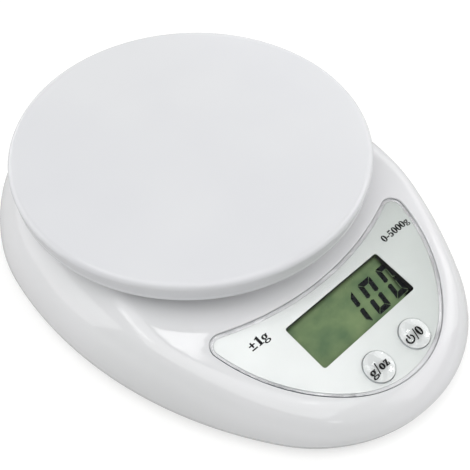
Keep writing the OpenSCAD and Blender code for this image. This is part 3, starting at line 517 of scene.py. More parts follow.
# Feet: four black rubber discs with a dished underside, glued into the recesses of the lower shell.
# They are what the scale stands on, so their rims lie on the table.
foot_rubber = moulded_plastic(
    "foot_rubber", (38, 38, 40), (48, 48, 50),
    gloss=(0.62, 0.78), drift=9, grain=0.6, depth=0.02, specular=0.35,
)
foot_profile = [
    (3.6, 0.35), (4.3, 0.05), (4.6, 0), (5.4, 0), (5.75, 0.12), (5.95, 0.4), (6, 0.8), (6, 2.5)
]
foot_names = ("foot_front_left", "foot_front_right", "foot_rear_left", "foot_rear_right")
for name, at in zip(foot_names, foot_places):
    foot = turned(name + "_pad", foot_profile, at, 72)
    fitted(smoothed(foot, 50), "housing", foot_rubber, "foot_rubber", name)


# Battery contacts: sheet metal plates with pressed domes and solder tabs, all nickel plated.
# They slide down behind ribs at the bay's ends: one link on the left, two terminals on the right.
def sheet_metal(name, low, high, gloss, drift, stretch=(1, 1, 1)):
    """Bare or plated metal with the fine streaks of rolling, and gloss that changes slowly."""
    material, shader = new_finish(name, high, gloss[0])
    with_values(shader, Metallic=1)
    tinted(shader, cloud(shader, drift), low, high)
    varied_gloss(shader, cloud(shader, 0.5, 4, stretch), *gloss)
    relief(shader, cloud(shader, 0.3, 2, stretch), 0.004)
    return material


def dressed(material, *names):
    """Gives nodes of the frame their material."""
    for name in names:
        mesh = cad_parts[name].data
        mesh.materials.clear()
        mesh.materials.append(material)


def own_shape(name, node, edge):
    """A new mesh object in the node's own shape, with small rounded edges."""
    shape = bmesh.new()
    shape.from_mesh(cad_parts[node].data)
    bmesh.ops.remove_doubles(shape, verts=shape.verts, dist=1e-6)
    bmesh.ops.dissolve_limit(
        shape, angle_limit=math.radians(1), verts=shape.verts, edges=shape.edges
    )
    bmesh.ops.recalc_face_normals(shape, faces=shape.faces)
    mesh = bpy.data.meshes.new(name)
    shape.to_mesh(mesh)
    shape.free()
    return smoothed(softened(placed(name, mesh), edge))


def refined(name, node, body, material, slot, edge):
    """The node's own shape with small rounded edges, as a new piece that stands for it."""
    return fitted(own_shape(name, node, edge), body, material, slot, node)


contact_nickel = sheet_metal("contact_nickel", (176, 174, 166), (206, 204, 196), (0.22, 0.36), 3)
for node in ("battery_contact_link", "battery_contact_positive", "battery_contact_negative"):
    refined(node + "_plate", node, "housing", contact_nickel, "contact_nickel", 0.08)


# Battery springs: conical coils of plated steel wire that press each cell against the far contact.
# Their six turns run from the wide end at the plate to the narrow end at the cell.
def tube(name, path, diameter):
    """A round wire along a path, without twist."""
    path = [Vector(p) for p in path]
    points, side, sides = [], None, 12
    for i, p in enumerate(path):
        along = (path[min(i + 1, len(path) - 1)] - path[max(i - 1, 0)]).normalized()
        start = side or (Vector((0, 0, 1)) if abs(along.z) < 0.9 else Vector((1, 0, 0)))
        side = (start - along * start.dot(along)).normalized()
        up = along.cross(side)
        points.append([
            p + (side * math.cos(a) + up * math.sin(a)) * diameter / 2
            for a in (math.tau * k / sides for k in range(sides))
        ])
    return smoothed(lofted(name, points), 60)


spring_wire, spring_turns, spring_length = 0.8, 6, 9.5
spring_wide, spring_narrow, turn_steps, plate_gap = 4.6, 2.8, 24, 0.05
contact_x = bay_x - 0.4
for node, turn in (("battery_spring_link", 1), ("battery_spring_negative", -1)):
    steps = spring_turns * turn_steps
    coil = []
    for i in range(steps + 1):
        share, a = i / steps, math.tau * i / turn_steps
        radius = spring_wide + share * (spring_narrow - spring_wide)
        along = spring_wire / 2 + share * (spring_length - spring_wire) + plate_gap - contact_x
        coil.append((turn * along, bay_y + turn * (battery_step + radius * math.cos(a)),
                     battery_axis + radius * math.sin(a)))
    spring = tube(node + "_coil", coil, spring_wire)
    fitted(spring, "housing", contact_nickel, "contact_nickel", node)

# Battery cells: two steel cans in a printed plastic sleeve that is shrunk over their ends.
# They lie side by side and head to tail, with the raised pole against the dome of a contact.
battery_sleeve, shader = new_finish("battery_sleeve", (52, 84, 96), 0.28)
with_values(shader, Coat_Weight=0.4, Coat_Roughness=0.12)
tinted(shader, cloud(shader, 14), (48, 78, 90), (58, 92, 104))
varied_gloss(shader, cloud(shader, 2, 3), 0.24, 0.34)
relief(shader, cloud(shader, 1.2, 2), 0.01)
cell_profile = [
    (4.6, 0.25), (5.1, 0.25), (5.4, 0.05), (6.3, 0), (6.9, 0.12), (7.12, 0.45), (7.15, 0.9),
    (7.15, 48.1), (7.1, 48.5), (6.85, 48.85), (6.2, 48.95), (5.9, 48.8), (5.7, 49.2), (2.75, 49.2),
    (2.7, 49.3), (2.7, 50.3), (2.6, 50.45), (2.35, 50.5),
]
cell_length = cell_profile[-1][1]
cell_foot = contact_x - 0.5 - cell_length
bare_radius, steel_below, steel_above = 5.6, 0.3, 48.9
for node, turn in (("battery_cell_rear", 1), ("battery_cell_front", -1)):
    axis_y = bay_y + turn * battery_step
    cell = lofted(node + "_sleeve", [
        [(turn * (cell_foot + along), y, z) for y, z in circle(axis_y, battery_axis, radius, 64)]
        for radius, along in cell_profile
    ])
    fitted(smoothed(cell, 40), "housing", battery_sleeve, "battery_sleeve", node)
    cell.data.materials.append(contact_nickel)
    for face in cell.data.polygons:
        at = face.center / MM
        bare = math.hypot(at.y - axis_y, at.z - battery_axis) < bare_radius
        if bare and not steel_below < turn * at.x - cell_foot < steel_above:
            face.material_index = 1

# Battery door: a flat ABS lid that hangs from two hooks and snaps shut with a springy latch.
# Four grooves near the latch give the thumb a hold.
inner_finish = moulded_plastic(
    "inner_plastic", (220, 221, 221), (226, 227, 228),
    gloss=(0.36, 0.5), drift=25, grain=0.8, depth=0.012,
)
door_round, door_top = 2, base_height + 2
hook_low, hook_high, hook_root = 4, 5.4, door_top - 0.2
latch_y, latch_thickness = bay_rear + 0.3, 1.2
groove_x, groove_pitch, groove_depth = 9, 2.2, 0.6
door_loop = [(-door_x, hinge_y), (door_x, hinge_y)]
for side, start in ((1, 0), (-1, 90)):
    door_loop += [
        (side * (door_x - door_round) + door_round * math.cos(a),
         hinge_y + door_width - door_round + door_round * math.sin(a))
        for a in (math.radians(start + 15 * i) for i in range(7))
    ]
door = lofted("battery_lid", [[(x, y, z) for x, y in door_loop] for z in (base_height, door_top)])
for x in (-hook_x, hook_x):
    for from_y, to_y, low in ((0.6, 2.2, hook_root), (-3, 1.4, hook_low)):
        combined(door, box_block(
            x - hook_half_width, x + hook_half_width, hinge_y + from_y, hinge_y + to_y,
            low, hook_high,
        ), "UNION")
combined(door, box_block(
    -latch_half_width, latch_half_width, latch_y, latch_y + latch_thickness,
    hook_root, floor_height + 6,
), "UNION")
combined(door, joined([
    box_block(-groove_x, groove_x, y - 0.5, y + 0.5, 0, base_height + groove_depth)
    for y in (hinge_y + door_width - 3.5 - groove_pitch * i for i in range(4))
]))
fitted(smoothed(softened(door, 0.25)), "door", inner_finish, "inner_plastic", "battery_door")

# Load cell: a bar of milled aluminium with two joined bores, which bends under the platter's load.
# White sealant covers its strain gauges. Two steel screws and a spacer fix it to the lower shell.
# Its mesh is cut across at even steps along its middle; it is not bent here.
cell_aluminium = sheet_metal(
    "cell_aluminium", (186, 189, 194), (206, 208, 212), (0.3, 0.46), 8, (1, 12, 12)
)
screw_steel = sheet_metal("screw_steel", (150, 152, 156), (188, 190, 194), (0.24, 0.4), 2)
plate_steel = sheet_metal(
    "plate_steel", (158, 160, 162), (184, 186, 188), (0.3, 0.5), 10, (1, 9, 9)
)
white_sealant = moulded_plastic(
    "white_sealant", (226, 224, 216), (238, 237, 231),
    gloss=(0.4, 0.62), drift=6, grain=1.6, depth=0.15,
)
bend_from, bend_to, bend_step = -18, 18, 6
for name, node, material, slot in (
    ("load_cell_bar", "load_cell", cell_aluminium, "cell_aluminium"),
    ("gauge_sealant", "strain_gauges", white_sealant, "white_sealant"),
):
    bar = own_shape(name, node, 0.25)
    bar.data.materials.clear()
    bar.data.materials.append(material)
    shape = bmesh.new()
    shape.from_mesh(bar.data)
    for x in range(bend_from, bend_to + 1, bend_step):
        everything = shape.verts[:] + shape.edges[:] + shape.faces[:]
        bmesh.ops.bisect_plane(shape, geom=everything, plane_co=(x * MM, 0, 0), plane_no=(1, 0, 0))
    bmesh.ops.dissolve_degenerate(shape, dist=1e-6, edges=shape.edges)
    shape.to_mesh(bar.data)
    shape.free()
    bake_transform(bar)
    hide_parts(node)
dressed(plate_steel, "load_cell_spacer_fixed", "load_cell_spacer_free")
refined("load_cell_bolts", "load_cell_screws_fixed", "housing", screw_steel, "screw_steel", 0.25)
dressed(screw_steel, "load_cell_screws_free")

# Wires: four thin ones run from the strain gauges over the battery bay to the circuit board,
# and two thicker runs go from the solder tabs of the battery contacts to their pads on the board.
panel_y, panel_height, panel_tilt = -68.5, 24.3, math.radians(10)
board_depth, pad_row, wire_diameter = 10, 17.6, 1.2


def on_panel(u, v, n):
    """Point on the tilted plane of the panel: u to the right, v to the rear, n out of its face."""
    return (
        u,
        panel_y + v * math.cos(panel_tilt) - n * math.sin(panel_tilt),
        panel_height + v * math.sin(panel_tilt) + n * math.cos(panel_tilt),
    )


def to_pad(u):
    """The end of a wire's route, straight down to its pad on the board."""
    return [on_panel(u, pad_row, lift - board_depth) for lift in (3.6, 1.6, 0.02)]


def rounded(route):
    """A smooth curve through the points of a route."""
    points = [Vector(p) for p in route]
    curve, steps = [], 6
    for i in range(len(points) - 1):
        a, b, c = points[max(i - 1, 0)], points[i], points[i + 1]
        d = points[min(i + 2, len(points) - 1)]
        for t in (k / steps for k in range(steps)):
            curve.append(0.5 * (
                2 * b + (c - a) * t + (2 * a - 5 * b + 4 * c - d) * t ** 2
                + (3 * b - a - 3 * c + d) * t ** 3
            ))
    return curve + [points[-1]]


wire_covers = {
    colour: moulded_plastic(
        "wire_" + colour, low, high, gloss=(0.34, 0.48), drift=12, grain=0.9, depth=0.01
    )
    for colour, low, high in (
        ("red", (170, 28, 30), (190, 36, 36)),
        ("black", (26, 26, 28), (34, 34, 36)),
        ("green", (30, 110, 60), (38, 126, 70)),
        ("white", (220, 220, 216), (232, 232, 228)),
    )
}


def wire(node, colour, route):
    lead = tube(node + "_lead", rounded(route), wire_diameter)
    fitted(lead, "housing", wire_covers[colour], "wire_" + colour, node)


over_bay, gauge_top = bay_top + bay_wall + 1.8, 24.4
for i, colour in enumerate(("red", "black", "green", "white")):
    x = -21.4 + 2 * i
    wire("gauge_wire_" + colour, colour, [
        (x, load_cell_y - 5, gauge_top), (x, load_cell_y - 6.95, gauge_top),
        (x, load_cell_y - 11.35, 23), (x - 0.6, bay_y + 22, over_bay + 0.5),
        (x - 1.6, bay_y + 8, over_bay), (x - 2.6, bay_y - 6, over_bay),
        (x - 3.1, bay_y - 17.9, over_bay), *to_pad(x - 3.6),
    ])
tab_end = bay_x + bay_wall + 2
for colour, turn, pad, bends in (
    ("red", 1, 26, [(5, -2, 1), (8, -10, 1.5), (7, -21, 3), (0, -30, 4)]),
    ("black", -1, 22, [(3, -4, 1), (0.5, -10, 2.5), (-5.5, -15.5, 4)]),
):
    start = Vector((tab_end, bay_y + turn * battery_step, tab_top + wire_diameter / 2 + 0.1))
    wire("battery_wire_" + colour, colour, [
        start - Vector((1.4, 0, 0)), start, *(start + Vector(bend) for bend in bends), *to_pad(pad)
    ])

# Bracket and hub: a pressed steel plate on the free end of the load cell carries the hub post,
# which stands up through the hole of the deck and is moulded in white ABS.
dressed(plate_steel, "bracket_plate")
dressed(screw_steel, "hub_screws")
refined("hub_column", "hub_post", "platform", inner_finish, "inner_plastic", 0.3)

# Circuit board: green laminate with copper tracks under the solder mask, screwed to four bosses.
# Its underside holds the chip under black epoxy, a few small parts and two push switches above.
board_laminate, shader = new_finish("board_laminate", (28, 92, 58), 0.4)
with_values(shader, Coat_Weight=0.3, Coat_Roughness=0.2)
track_pitch, track_share = 9, 0.035
tracks = added(
    shader, "TexBrick", Scale=1 / (track_pitch * MM), Mortar_Size=track_share,
    Color1=linear(26, 88, 56), Color2=linear(30, 96, 60), Mortar=linear(66, 138, 84),
)
linked(
    (added(shader, "TexCoord").outputs["Object"], tracks.inputs["Vector"]),
    (tracks.outputs["Color"], shader.inputs["Base Color"]),
)
relief(shader, tracks.outputs["Fac"], 0.03)
varied_gloss(shader, cloud(shader, 4), 0.34, 0.46)
chip_epoxy = moulded_plastic(
    "chip_epoxy", (18, 18, 20), (26, 26, 28), gloss=(0.12, 0.24), drift=5, grain=1.5, depth=0.03
)
component_ceramic = moulded_plastic(
    "component_ceramic", (46, 44, 42), (176, 150, 112),
    gloss=(0.3, 0.45), drift=7, grain=0.8, depth=0.02,
)
black_finish = moulded_plastic(
    "black_plastic", (15, 15, 17), (22, 22, 24), gloss=(0.3, 0.45), drift=12, grain=0.5, depth=0.01
)
dressed(board_laminate, "circuit_board")
dressed(chip_epoxy, "chip_blob")
dressed(component_ceramic, "board_components")
dressed(black_finish, "switch_unit", "switch_power", "plunger_unit", "plunger_power")
dressed(screw_steel, "board_screws")

# Display: two glass layers over a foil reflector, held over the board by a black frame whose neck
# fills the opening of the deck. Striped rubber strips carry the contacts of the glass to the board.
glass_depth = 4.3
display_glass, shader = new_finish("display_glass", (100, 120, 86), 0.14, 0.3)
tinted(shader, cloud(shader, 11, 3, (1, 1.3, 1)), (112, 130, 92), (82, 104, 76), 0.3, 0.7)
varied_gloss(shader, cloud(shader, 3), 0.1, 0.2)
relief(shader, cloud(shader, 0.4, 2), 0.002)


def painted_shade_along(shader, direction, start, end, dark):
    """Painted shade: blends the base colour into a dark tint between two distances along a
    direction.
    """
    along = added(shader, "VectorMath")
    along.operation = "DOT_PRODUCT"
    along.inputs[1].default_value = direction
    spread = added(shader, "MapRange", From_Min=start * MM, From_Max=end * MM)
    spread.interpolation_type = "SMOOTHSTEP"
    blend = added(shader, "Mix")
    blend.data_type = "RGBA"
    blend.inputs["B"].default_value = linear(*dark)
    linked(
        (added(shader, "TexCoord").outputs["Object"], along.inputs[0]),
        (along.outputs["Value"], spread.inputs["Value"]),
        (spread.outputs["Result"], blend.inputs["Factor"]),
        (shader.inputs["Base Color"].links[0].from_socket, blend.inputs["A"]),
        (blend.outputs["Result"], shader.inputs["Base Color"]),
    )


digit_lean = math.tan(math.radians(10.5))
# Painted shade on the glass: it turns nearly black towards the window's right wall and along its
# rear edge, where the frame's walls shade it.
painted_shade_tint, painted_shade_line = (5, 7, 6), 25 - panel_y * digit_lean
painted_shade_along(shader, (1, -digit_lean, 0), painted_shade_line - 1.8, painted_shade_line + 1.0, painted_shade_tint)
uphill = (0, math.cos(panel_tilt), math.sin(panel_tilt))
panel_level = panel_y * uphill[1] + panel_height * uphill[2]
painted_shade_along(shader, uphill, panel_level + 8.8, panel_level + 11.6, painted_shade_tint)
reflector_foil = sheet_metal("reflector_foil", (196, 198, 196), (216, 218, 216), (0.3, 0.45), 3)
connector_rubber, shader = new_finish("connector_rubber", (196, 190, 184), 0.6)
stripe_pitch = 1.2
stripes = added(shader, "TexWave", Scale=1 / (stripe_pitch * MM))
stripes.bands_direction = "X"
linked((added(shader, "TexCoord").outputs["Object"], stripes.inputs["Vector"]))
tinted(shader, stripes.outputs["Fac"], (60, 58, 58), (200, 194, 188))
relief(shader, cloud(shader, 0.6), 0.02)
dressed(display_glass, "lcd_glass")
dressed(reflector_foil, "lcd_reflector")
dressed(connector_rubber, "lcd_connectors")

# The walls of the frame's neck are painted in the glass's colour and its painted shade: a painted
# reflection of the glass in the black walls.
neck_x, neck_v, neck_low, neck_high = 26.7, 10.7, -4.2, -1.2
lcd_frame = refined("display_frame", "lcd_frame", "housing", black_finish, "black_plastic", 0.15)
lcd_frame.data.materials.append(display_glass)
for face in lcd_frame.data.polygons:
    at = face.center / MM - Vector((0, panel_y, panel_height))
    along, out = at.y * uphill[1] + at.z * uphill[2], at.z * uphill[1] - at.y * uphill[2]
    if abs(at.x) < neck_x and abs(along) < neck_v and neck_low < out < neck_high:
        face.material_index = 1


def ink_and_painted_shadow(name, colour, roughness, specular, tint_size, low, high, gloss_size, gloss):
    """Thin printed colour, or a painted shadow, with a slight drift of its tint and gloss."""
    material, shader = new_finish(name, colour, roughness, specular)
    tinted(shader, cloud(shader, tint_size), low, high)
    varied_gloss(shader, cloud(shader, gloss_size), *gloss)
    return material


digit_ink = ink_and_painted_shadow(
    "digit_ink", (8, 14, 18), 0.3, 0.2, 2.5, (2, 4, 8), (5, 9, 14), 1, (0.25, 0.4)
)
# Painted shadow of the digits: a dark green copy of them, a little lower and to the left on the
# glass.
digit_painted_shadow = ink_and_painted_shadow(
    "digit_painted_shadow", (84, 102, 76), 0.3, 0.2, 3, (76, 94, 70), (96, 112, 84), 1, (0.25, 0.35)
)
digit_width, digit_height, digit_stroke, digit_pitch = 7.2, 14.7, 2.25, 10.95
digit_middle, last_digit_right = -1.45, 27.8


def digit_bars(left, lit):
    """The lit segments of one digit, as outlines on the display: mitred bars with narrow gaps."""
    w, h, s = digit_width / 2, digit_height / 2, digit_stroke
    level = [
        (0.6 - w, h), (w - 0.6, h), (w - 0.32, h - 0.1), (w - s - 0.08, h - s),
        (s + 0.08 - w, h - s), (0.32 - w, h - 0.1),
    ]
    upright = [
        (w, h - 0.6), (w, 0.95), (w - s / 2, 0.5), (w - s, 1.0), (w - s, h - s - 0.1),
        (w - 0.1, h - 0.34),
    ]
    shapes = {
        "top": (level, 1, 1), "low": (level, 1, -1),
        "right_top": (upright, 1, 1), "right_low": (upright, 1, -1),
        "left_top": (upright, -1, 1), "left_low": (upright, -1, -1),
    }
    return [
        [(left + w + side * x + up * y * digit_lean, up * y + digit_middle) for x, y in shape]
        for shape, side, up in (shapes[name] for name in lit)
    ]


one = ("right_top", "right_low")
nought = ("top", "right_top", "right_low", "low", "left_low", "left_top")
bars = []
for place_from_right, lit in ((2, one), (1, nought), (0, nought)):
    bars += digit_bars(last_digit_right - digit_width - digit_pitch * place_from_right, lit)
# The lit digits, then their painted shadow under them.
for name, digit_finish, lift, right, up in (
    ("display_digits", digit_ink, 0.03, 0, 0),
    ("display_digit_painted_shadows", digit_painted_shadow, 0.01, -0.35, -0.25),
):
    digits = joined([
        lofted("bar", [[on_panel(u + right, v + up, n - glass_depth) for u, v in bar]
                       for n in (0.002, lift)])
        for bar in bars
    ])
    digits.name = name
    fitted(digits, "housing", digit_finish, "display_glass")

# Upper shell: one glossy white ABS moulding with a level deck, a sloping recess for the panel
# and a raised collar round the hub, which keeps spills out. Its walls are 2.2 mm thick.
deck_height, bend_blend, flare, shell_wall = 38.5, 6, 2, 2.2
shoulder_narrow, shoulder_growth, shoulder_run = 10, 17, 60
cover_depth, seat_depth, cover_gap, recess_round = 1.5, 3.7, 0.35, 0.45
hub_steps, collar_radius, collar_height = 96, 17, 39.5
collar_foot = [(0.7, 0), (0.35, 0.09), (0.09, 0.35), (0, 0.7)]
collar_profile = [
    (collar_radius, 39.1), (16.88, 39.38), (16.6, collar_height), (15.4, collar_height),
    (15.12, 39.38), (15, 39.1), (15, 29.7),
]
fill_rows, fill_columns, row_share = range(-60, 60), range(-45, 46), 0.866
fill_pitch, fill_gap, edge_gap = 2.2, 1.2, 0.8
window_half_width, window_half_height, window_corner, cutter_low = 26.5, 10.5, 1.2, -8


def deck_surface(y):
    """Height of the deck: level under the platter, bent into the plane of the panel in front."""
    sloped = panel_height + (y - panel_y) * math.tan(panel_tilt)
    bend = max(bend_blend - abs(deck_height - sloped), 0)
    return min(deck_height, sloped) - bend ** 2 / (4 * bend_blend)


def shoulder(y):
    """Width of the rounded shoulder: narrow beside the panel, wide beside the platter."""
    t = min(max((y - front_centre.y) / shoulder_run, 0), 1)
    return shoulder_narrow + shoulder_growth * t * t * (3 - 2 * t)


def dome_ring(outline, turn, inward=0, down=0):
    """Ring of the shell's shoulder: from upright at the seam to level at the deck."""
    ring = []
    for x, y, a in outline:
        d = inward + flare * math.sin(turn) + shoulder(y) * (1 - math.cos(turn))
        px, py = x - d * math.cos(a), y - d * math.sin(a)
        rise = deck_surface(py) - down - seam_height
        ring.append((px, py, seam_height + rise * math.sin(turn)))
    return ring


def dome_height(x, y):
    """Height of the outside of the shell above any point of its plan."""
    side = abs(x)
    if math.atan2(y - rear_centre.y, side) >= rear_turn:
        centre, radius = rear_centre, rear_radius
    elif math.atan2(y - front_centre.y, side) <= front_turn:
        centre, radius = front_centre, front_radius
    else:
        centre, radius = side_centre, side_radius
    out = Vector((side, y)) - centre
    inward = radius - out.length
    width = shoulder(centre.y + radius * out.y / out.length)
    if inward >= flare + width:
        return deck_surface(y)
    turn = math.acos((width - inward) / math.hypot(width, flare)) - math.atan2(flare, width)
    return seam_height + (deck_surface(y) - seam_height) * math.sin(turn)


panel_front_radius, panel_side_radius, panel_rear_radius, panel_corner = 43, 74, 133, 5
panel_front, panel_rear, panel_join = 33.7, 16.2, math.radians(-53)
front_arc = Vector((0, panel_front_radius - panel_front))
side_arc = front_arc - (panel_side_radius - panel_front_radius) * Vector((
    math.cos(panel_join), math.sin(panel_join)
))
rear_arc = Vector((0, panel_rear + panel_rear_radius))


def corner_centre():
    """Middle of the round rear corner, which touches the rear arc and the side arc."""
    far, near = panel_rear_radius + panel_corner, panel_side_radius - panel_corner
    gap = side_arc - rear_arc
    along = (gap.length_squared + far ** 2 - near ** 2) / (2 * gap.length)
    across = math.sqrt(far ** 2 - along ** 2)
    unit = gap.normalized()
    return rear_arc + along * unit + across * Vector((-unit.y, unit.x))


corner_arc = corner_centre()
side_end, rear_start = (math.atan2(*(corner_arc - arc).yx) for arc in (side_arc, rear_arc))


def panel_outline(inward):
    """Outline of the panel in its own plane, moved inwards: a shield with a hollow rear edge."""
    arcs = (
        (front_arc, panel_front_radius - inward, -math.pi / 2, panel_join, 26),
        (side_arc, panel_side_radius - inward, panel_join, side_end, 26),
        (corner_arc, panel_corner - inward, side_end, rear_start + math.pi, 14),
        (rear_arc, panel_rear_radius + inward, rear_start, -math.pi / 2, 34),
    )
    right = [(x, y) for arc in arcs for x, y, _ in arc_points(*arc)]
    right.append((0, panel_rear - inward))
    return right + [(-x, y) for x, y in reversed(right[1:-1])]


def on_surface(u, v, sink):
    """Point of the shell's outside next to the panel, sunk along the panel's normal."""
    x, y, z = on_panel(u, v, 0)
    n = (dome_height(x, y) - z) * math.cos(panel_tilt)
    return on_panel(u, v, min(n, 0) - sink)


def panel_slab(name, loop, low, high):
    """A plate or a cutter square to the panel, from an outline in its plane."""
    return lofted(name, [[on_panel(u, v, n) for u, v in loop] for n in (low, high)])


def window_outline(grow=0):
    """Outline of the display's window with round corners, grown outwards."""
    half_w, half_h, r = (
        size + grow for size in (window_half_width, window_half_height, window_corner)
    )
    corners, steps = ((1, 1, 0), (-1, 1, 90), (-1, -1, 180), (1, -1, 270)), 8
    return [
        (sx * (half_w - r) + r * math.cos(a), sy * (half_h - r) + r * math.sin(a))
        for sx, sy, start in corners
        for a in (math.radians(start + 90 * i / steps) for i in range(steps + 1))
    ]


def inside_loop(loop, x, y):
    hit = False
    for (x0, y0), (x1, y1) in zip(loop, loop[1:] + loop[:1]):
        if (y0 > y) != (y1 > y) and x < x0 + (x1 - x0) * (y - y0) / (y1 - y0):
            hit = not hit
    return hit


def plan_of(ring):
    return [(p[0], p[1]) for p in ring]


def nearness(points):
    """A search tree for the nearest of some points in plan."""
    tree = KDTree(len(points))
    for i, p in enumerate(points):
        tree.insert((p[0], p[1], 0), i)
    tree.balance()
    return tree


def deck_fill(taken, rings, hole, hub):
    """Points in the deck, clear of the loops: along its bent rim, then in even rows."""
    near, rim = nearness(taken), plan_of(rings[-1])
    close = nearness(rim)
    fill = [
        p for ring in rings for p in plan_of(ring)
        if near.find((*p, 0))[2] > edge_gap and not inside_loop(hole, *p)
    ]
    for row in fill_rows:
        for column in fill_columns:
            x, y = (column + 0.5 * (row % 2)) * fill_pitch, row * fill_pitch * row_share
            if not inside_loop(rim, x, y) or inside_loop(hole, x, y) or inside_loop(hub, x, y):
                continue
            if near.find((x, y, 0))[2] > fill_gap and close.find((x, y, 0))[2] > fill_gap:
                fill.append((x, y))
    return fill


def shell_outside():
    """Closed solid of the shell's outside, with the panel's recess and the hub's hole sunk in."""
    walls = [
        level_ring(fine_outline, seam_height + rise, inward)
        for rise, inward in ((0, 0.35), (0.1, 0.1), (0.35, 0))
    ]
    walls += [dome_ring(fine_outline, math.radians(a)) for a in range(4, 64, 4)]
    count = len(fine_outline)
    points = [p for ring in walls for p in ring]
    faces = ring_faces(count, len(walls)) + [tuple(range(count))]

    # Rounded edge of the panel's recess, then its upright wall
    panel_rings = []
    for turn in (math.radians(a) for a in (0, 22.5, 45, 67.5, 90)):
        loop = panel_outline(-cover_gap - recess_round * (1 - math.sin(turn)))
        panel_rings.append([
            on_surface(u, v, recess_round * (1 - math.cos(turn))) for u, v in loop
        ])
    panel_rings.append([on_panel(u, v, -cover_depth) for u, v in panel_outline(-cover_gap)])

    # Collar round the hub: hollow foot, rounded top and the wall of the hole
    hub_rings = [
        [(x, y, dome_height(x, y) + rise)
         for x, y in circle(0, platter_centre.y, collar_radius + out, hub_steps)]
        for out, rise in collar_foot
    ] + [
        [(x, y, z) for x, y in circle(0, platter_centre.y, r, hub_steps)] for r, z in collar_profile
    ]

    # Open top between the walls and the two holes, filled with even triangles
    rim_rings = [dome_ring(fine_outline, math.radians(a)) for a in (64, 68, 72, 76, 80, 85, 90)]
    loops = [walls[-1], panel_rings[0], hub_rings[0]]
    taken = [p for loop in loops for p in loop]
    hole, hub = plan_of(panel_rings[0]), plan_of(hub_rings[0])
    plan = [Vector(p) for p in plan_of(taken) + deck_fill(taken, rim_rings, hole, hub)]
    edges, start = [], 0
    for loop in loops:
        edges += [(start + i, start + (i + 1) % len(loop)) for i in range(len(loop))]
        start += len(loop)
    flat, _, triangles, source, _, _ = delaunay_2d_cdt(plan, edges, [], 1, 1e-7)
    base = len(points) - count
    place = []
    for p, came in zip(flat, source):
        first = min(came) if came else len(plan)
        if first < count:
            place.append(base + first)
        else:
            place.append(len(points))
            points.append(taken[first] if first < len(taken) else (*p, dome_height(*p)))
    for triangle in triangles:
        middle = sum((flat[i] for i in triangle), Vector((0, 0))) / len(triangle)
        if not inside_loop(hole, *middle) and not inside_loop(hub, *middle):
            faces.append(tuple(place[i] for i in triangle))

    # The walls of the two holes, from the edges of the top down to their closed ends
    back = {min(came): place[i] for i, came in enumerate(source) if came}
    first = count
    for rings in (panel_rings, hub_rings):
        n = len(rings[0])
        loop = [back[first + i] for i in range(n)]
        first += n
        for ring in rings[1:]:
            here = list(range(len(points), len(points) + n))
            points += ring
            faces += [
                (loop[i], loop[(i + 1) % n], here[(i + 1) % n], here[i]) for i in range(n)
            ]
            loop = here
        faces.append(tuple(loop))
    return new_piece("upper_housing", points, faces)


button_row, button_side, button_radius, hole_clearance = -23.2, 10.5, 6.25, 0.2


def button_holes(high=0):
    """Cutters for the two holes that the button caps come up through."""
    return [
        panel_slab("hole", circle(
            side * button_side, button_row, button_radius + hole_clearance, 64
        ), cutter_low, high)
        for side in (-1, 1)
    ]


board_bosses = [(-36.4, 14), (36.4, 14), (-26, -24.9), (26, -24.9)]
shell_post, shell_post_low, shell_bore, hub_low, above = 7, 10.5, 3.1, 34.3, 60
board_post, board_bore, bore_length, seat_top_gap = 2.75, 1.05, 4.5, 0.7
shell_bore_low, shell_bore_high = 9, 18
upper = shell_outside()
hollow = egg_lofted("hollow", [level_ring(plain_outline, seam_height - 2, shell_wall)] + [
    dome_ring(plain_outline, math.pi / 2 * i / 12, shell_wall, shell_wall) for i in range(13)
])
combined(hollow, panel_slab(
    "seat", panel_outline(-cover_gap - shell_wall), -seat_depth, -seat_top_gap
))
combined(hollow, joined([post(at, shell_post, shell_post_low, above) for at in shell_bosses]))
combined(hollow, joined([
    panel_slab("boss", circle(u, v, board_post, 32), -board_depth, 0) for u, v in board_bosses
]))
combined(hollow, post((0, platter_centre.y), 2 * collar_radius, hub_low, above, hub_steps))
combined(upper, hollow)
window_cutter = panel_slab("window", window_outline(2.4), cutter_low, 0)
combined(upper, joined([window_cutter] + button_holes()))
combined(upper, joined([
    post(at, shell_bore, shell_bore_low, shell_bore_high, 24) for at in shell_bosses
]))
combined(upper, joined([
    panel_slab("bore", circle(u, v, board_bore, 24), -board_depth - 1, -board_depth + bore_length)
    for u, v in board_bosses
]))
fitted(smoothed(upper), "housing", shell_finish, "shell_plastic", "upper_shell")

# Housing screws: six self-tapping screws with cross slots, driven up from the lower shell's wells.
# They pull the two shells together at the seam.
refined("housing_screws", "shell_screws", "housing", screw_steel, "screw_steel", 0.15)

# Printed film: a thin sheet with a silver front, cut out for the display and the buttons.
# It lies in a pocket behind the clear cover, and its plain numbers are printed in black.
film_rim, film_thickness = 1.3, 0.3
film_front = -cover_depth + film_thickness
silver_film, shader = new_finish("silver_film", (214, 217, 216), 0.4)
with_values(shader, Metallic=0.2)
tinted(shader, cloud(shader, 30), (211, 214, 213), (217, 220, 219))
# Painted shade: the silver darkens towards the right of the panel.
painted_shade_along(shader, (1, -0.3, 0), -9.5, 70, (187, 192, 189))
varied_gloss(shader, cloud(shader, 0.25, 2), 0.38, 0.5)
relief(shader, cloud(shader, 0.12, 2), 0.003)
film = panel_slab("panel_print", panel_outline(film_rim), -cover_depth, film_front)
window_cutter = panel_slab("window", window_outline(), cutter_low, 0)
combined(film, joined([window_cutter] + button_holes()))
fitted(smoothed(film), "housing", silver_film, "silver_film", "panel_film")

print_ink = ink_and_painted_shadow(
    "print_ink", (9, 9, 10), 0.4, 0.15, 1.5, (5, 5, 6), (12, 12, 13), 0.8, (0.35, 0.5)
)
ink_lift, ink_thickness = 0.006, 0.008


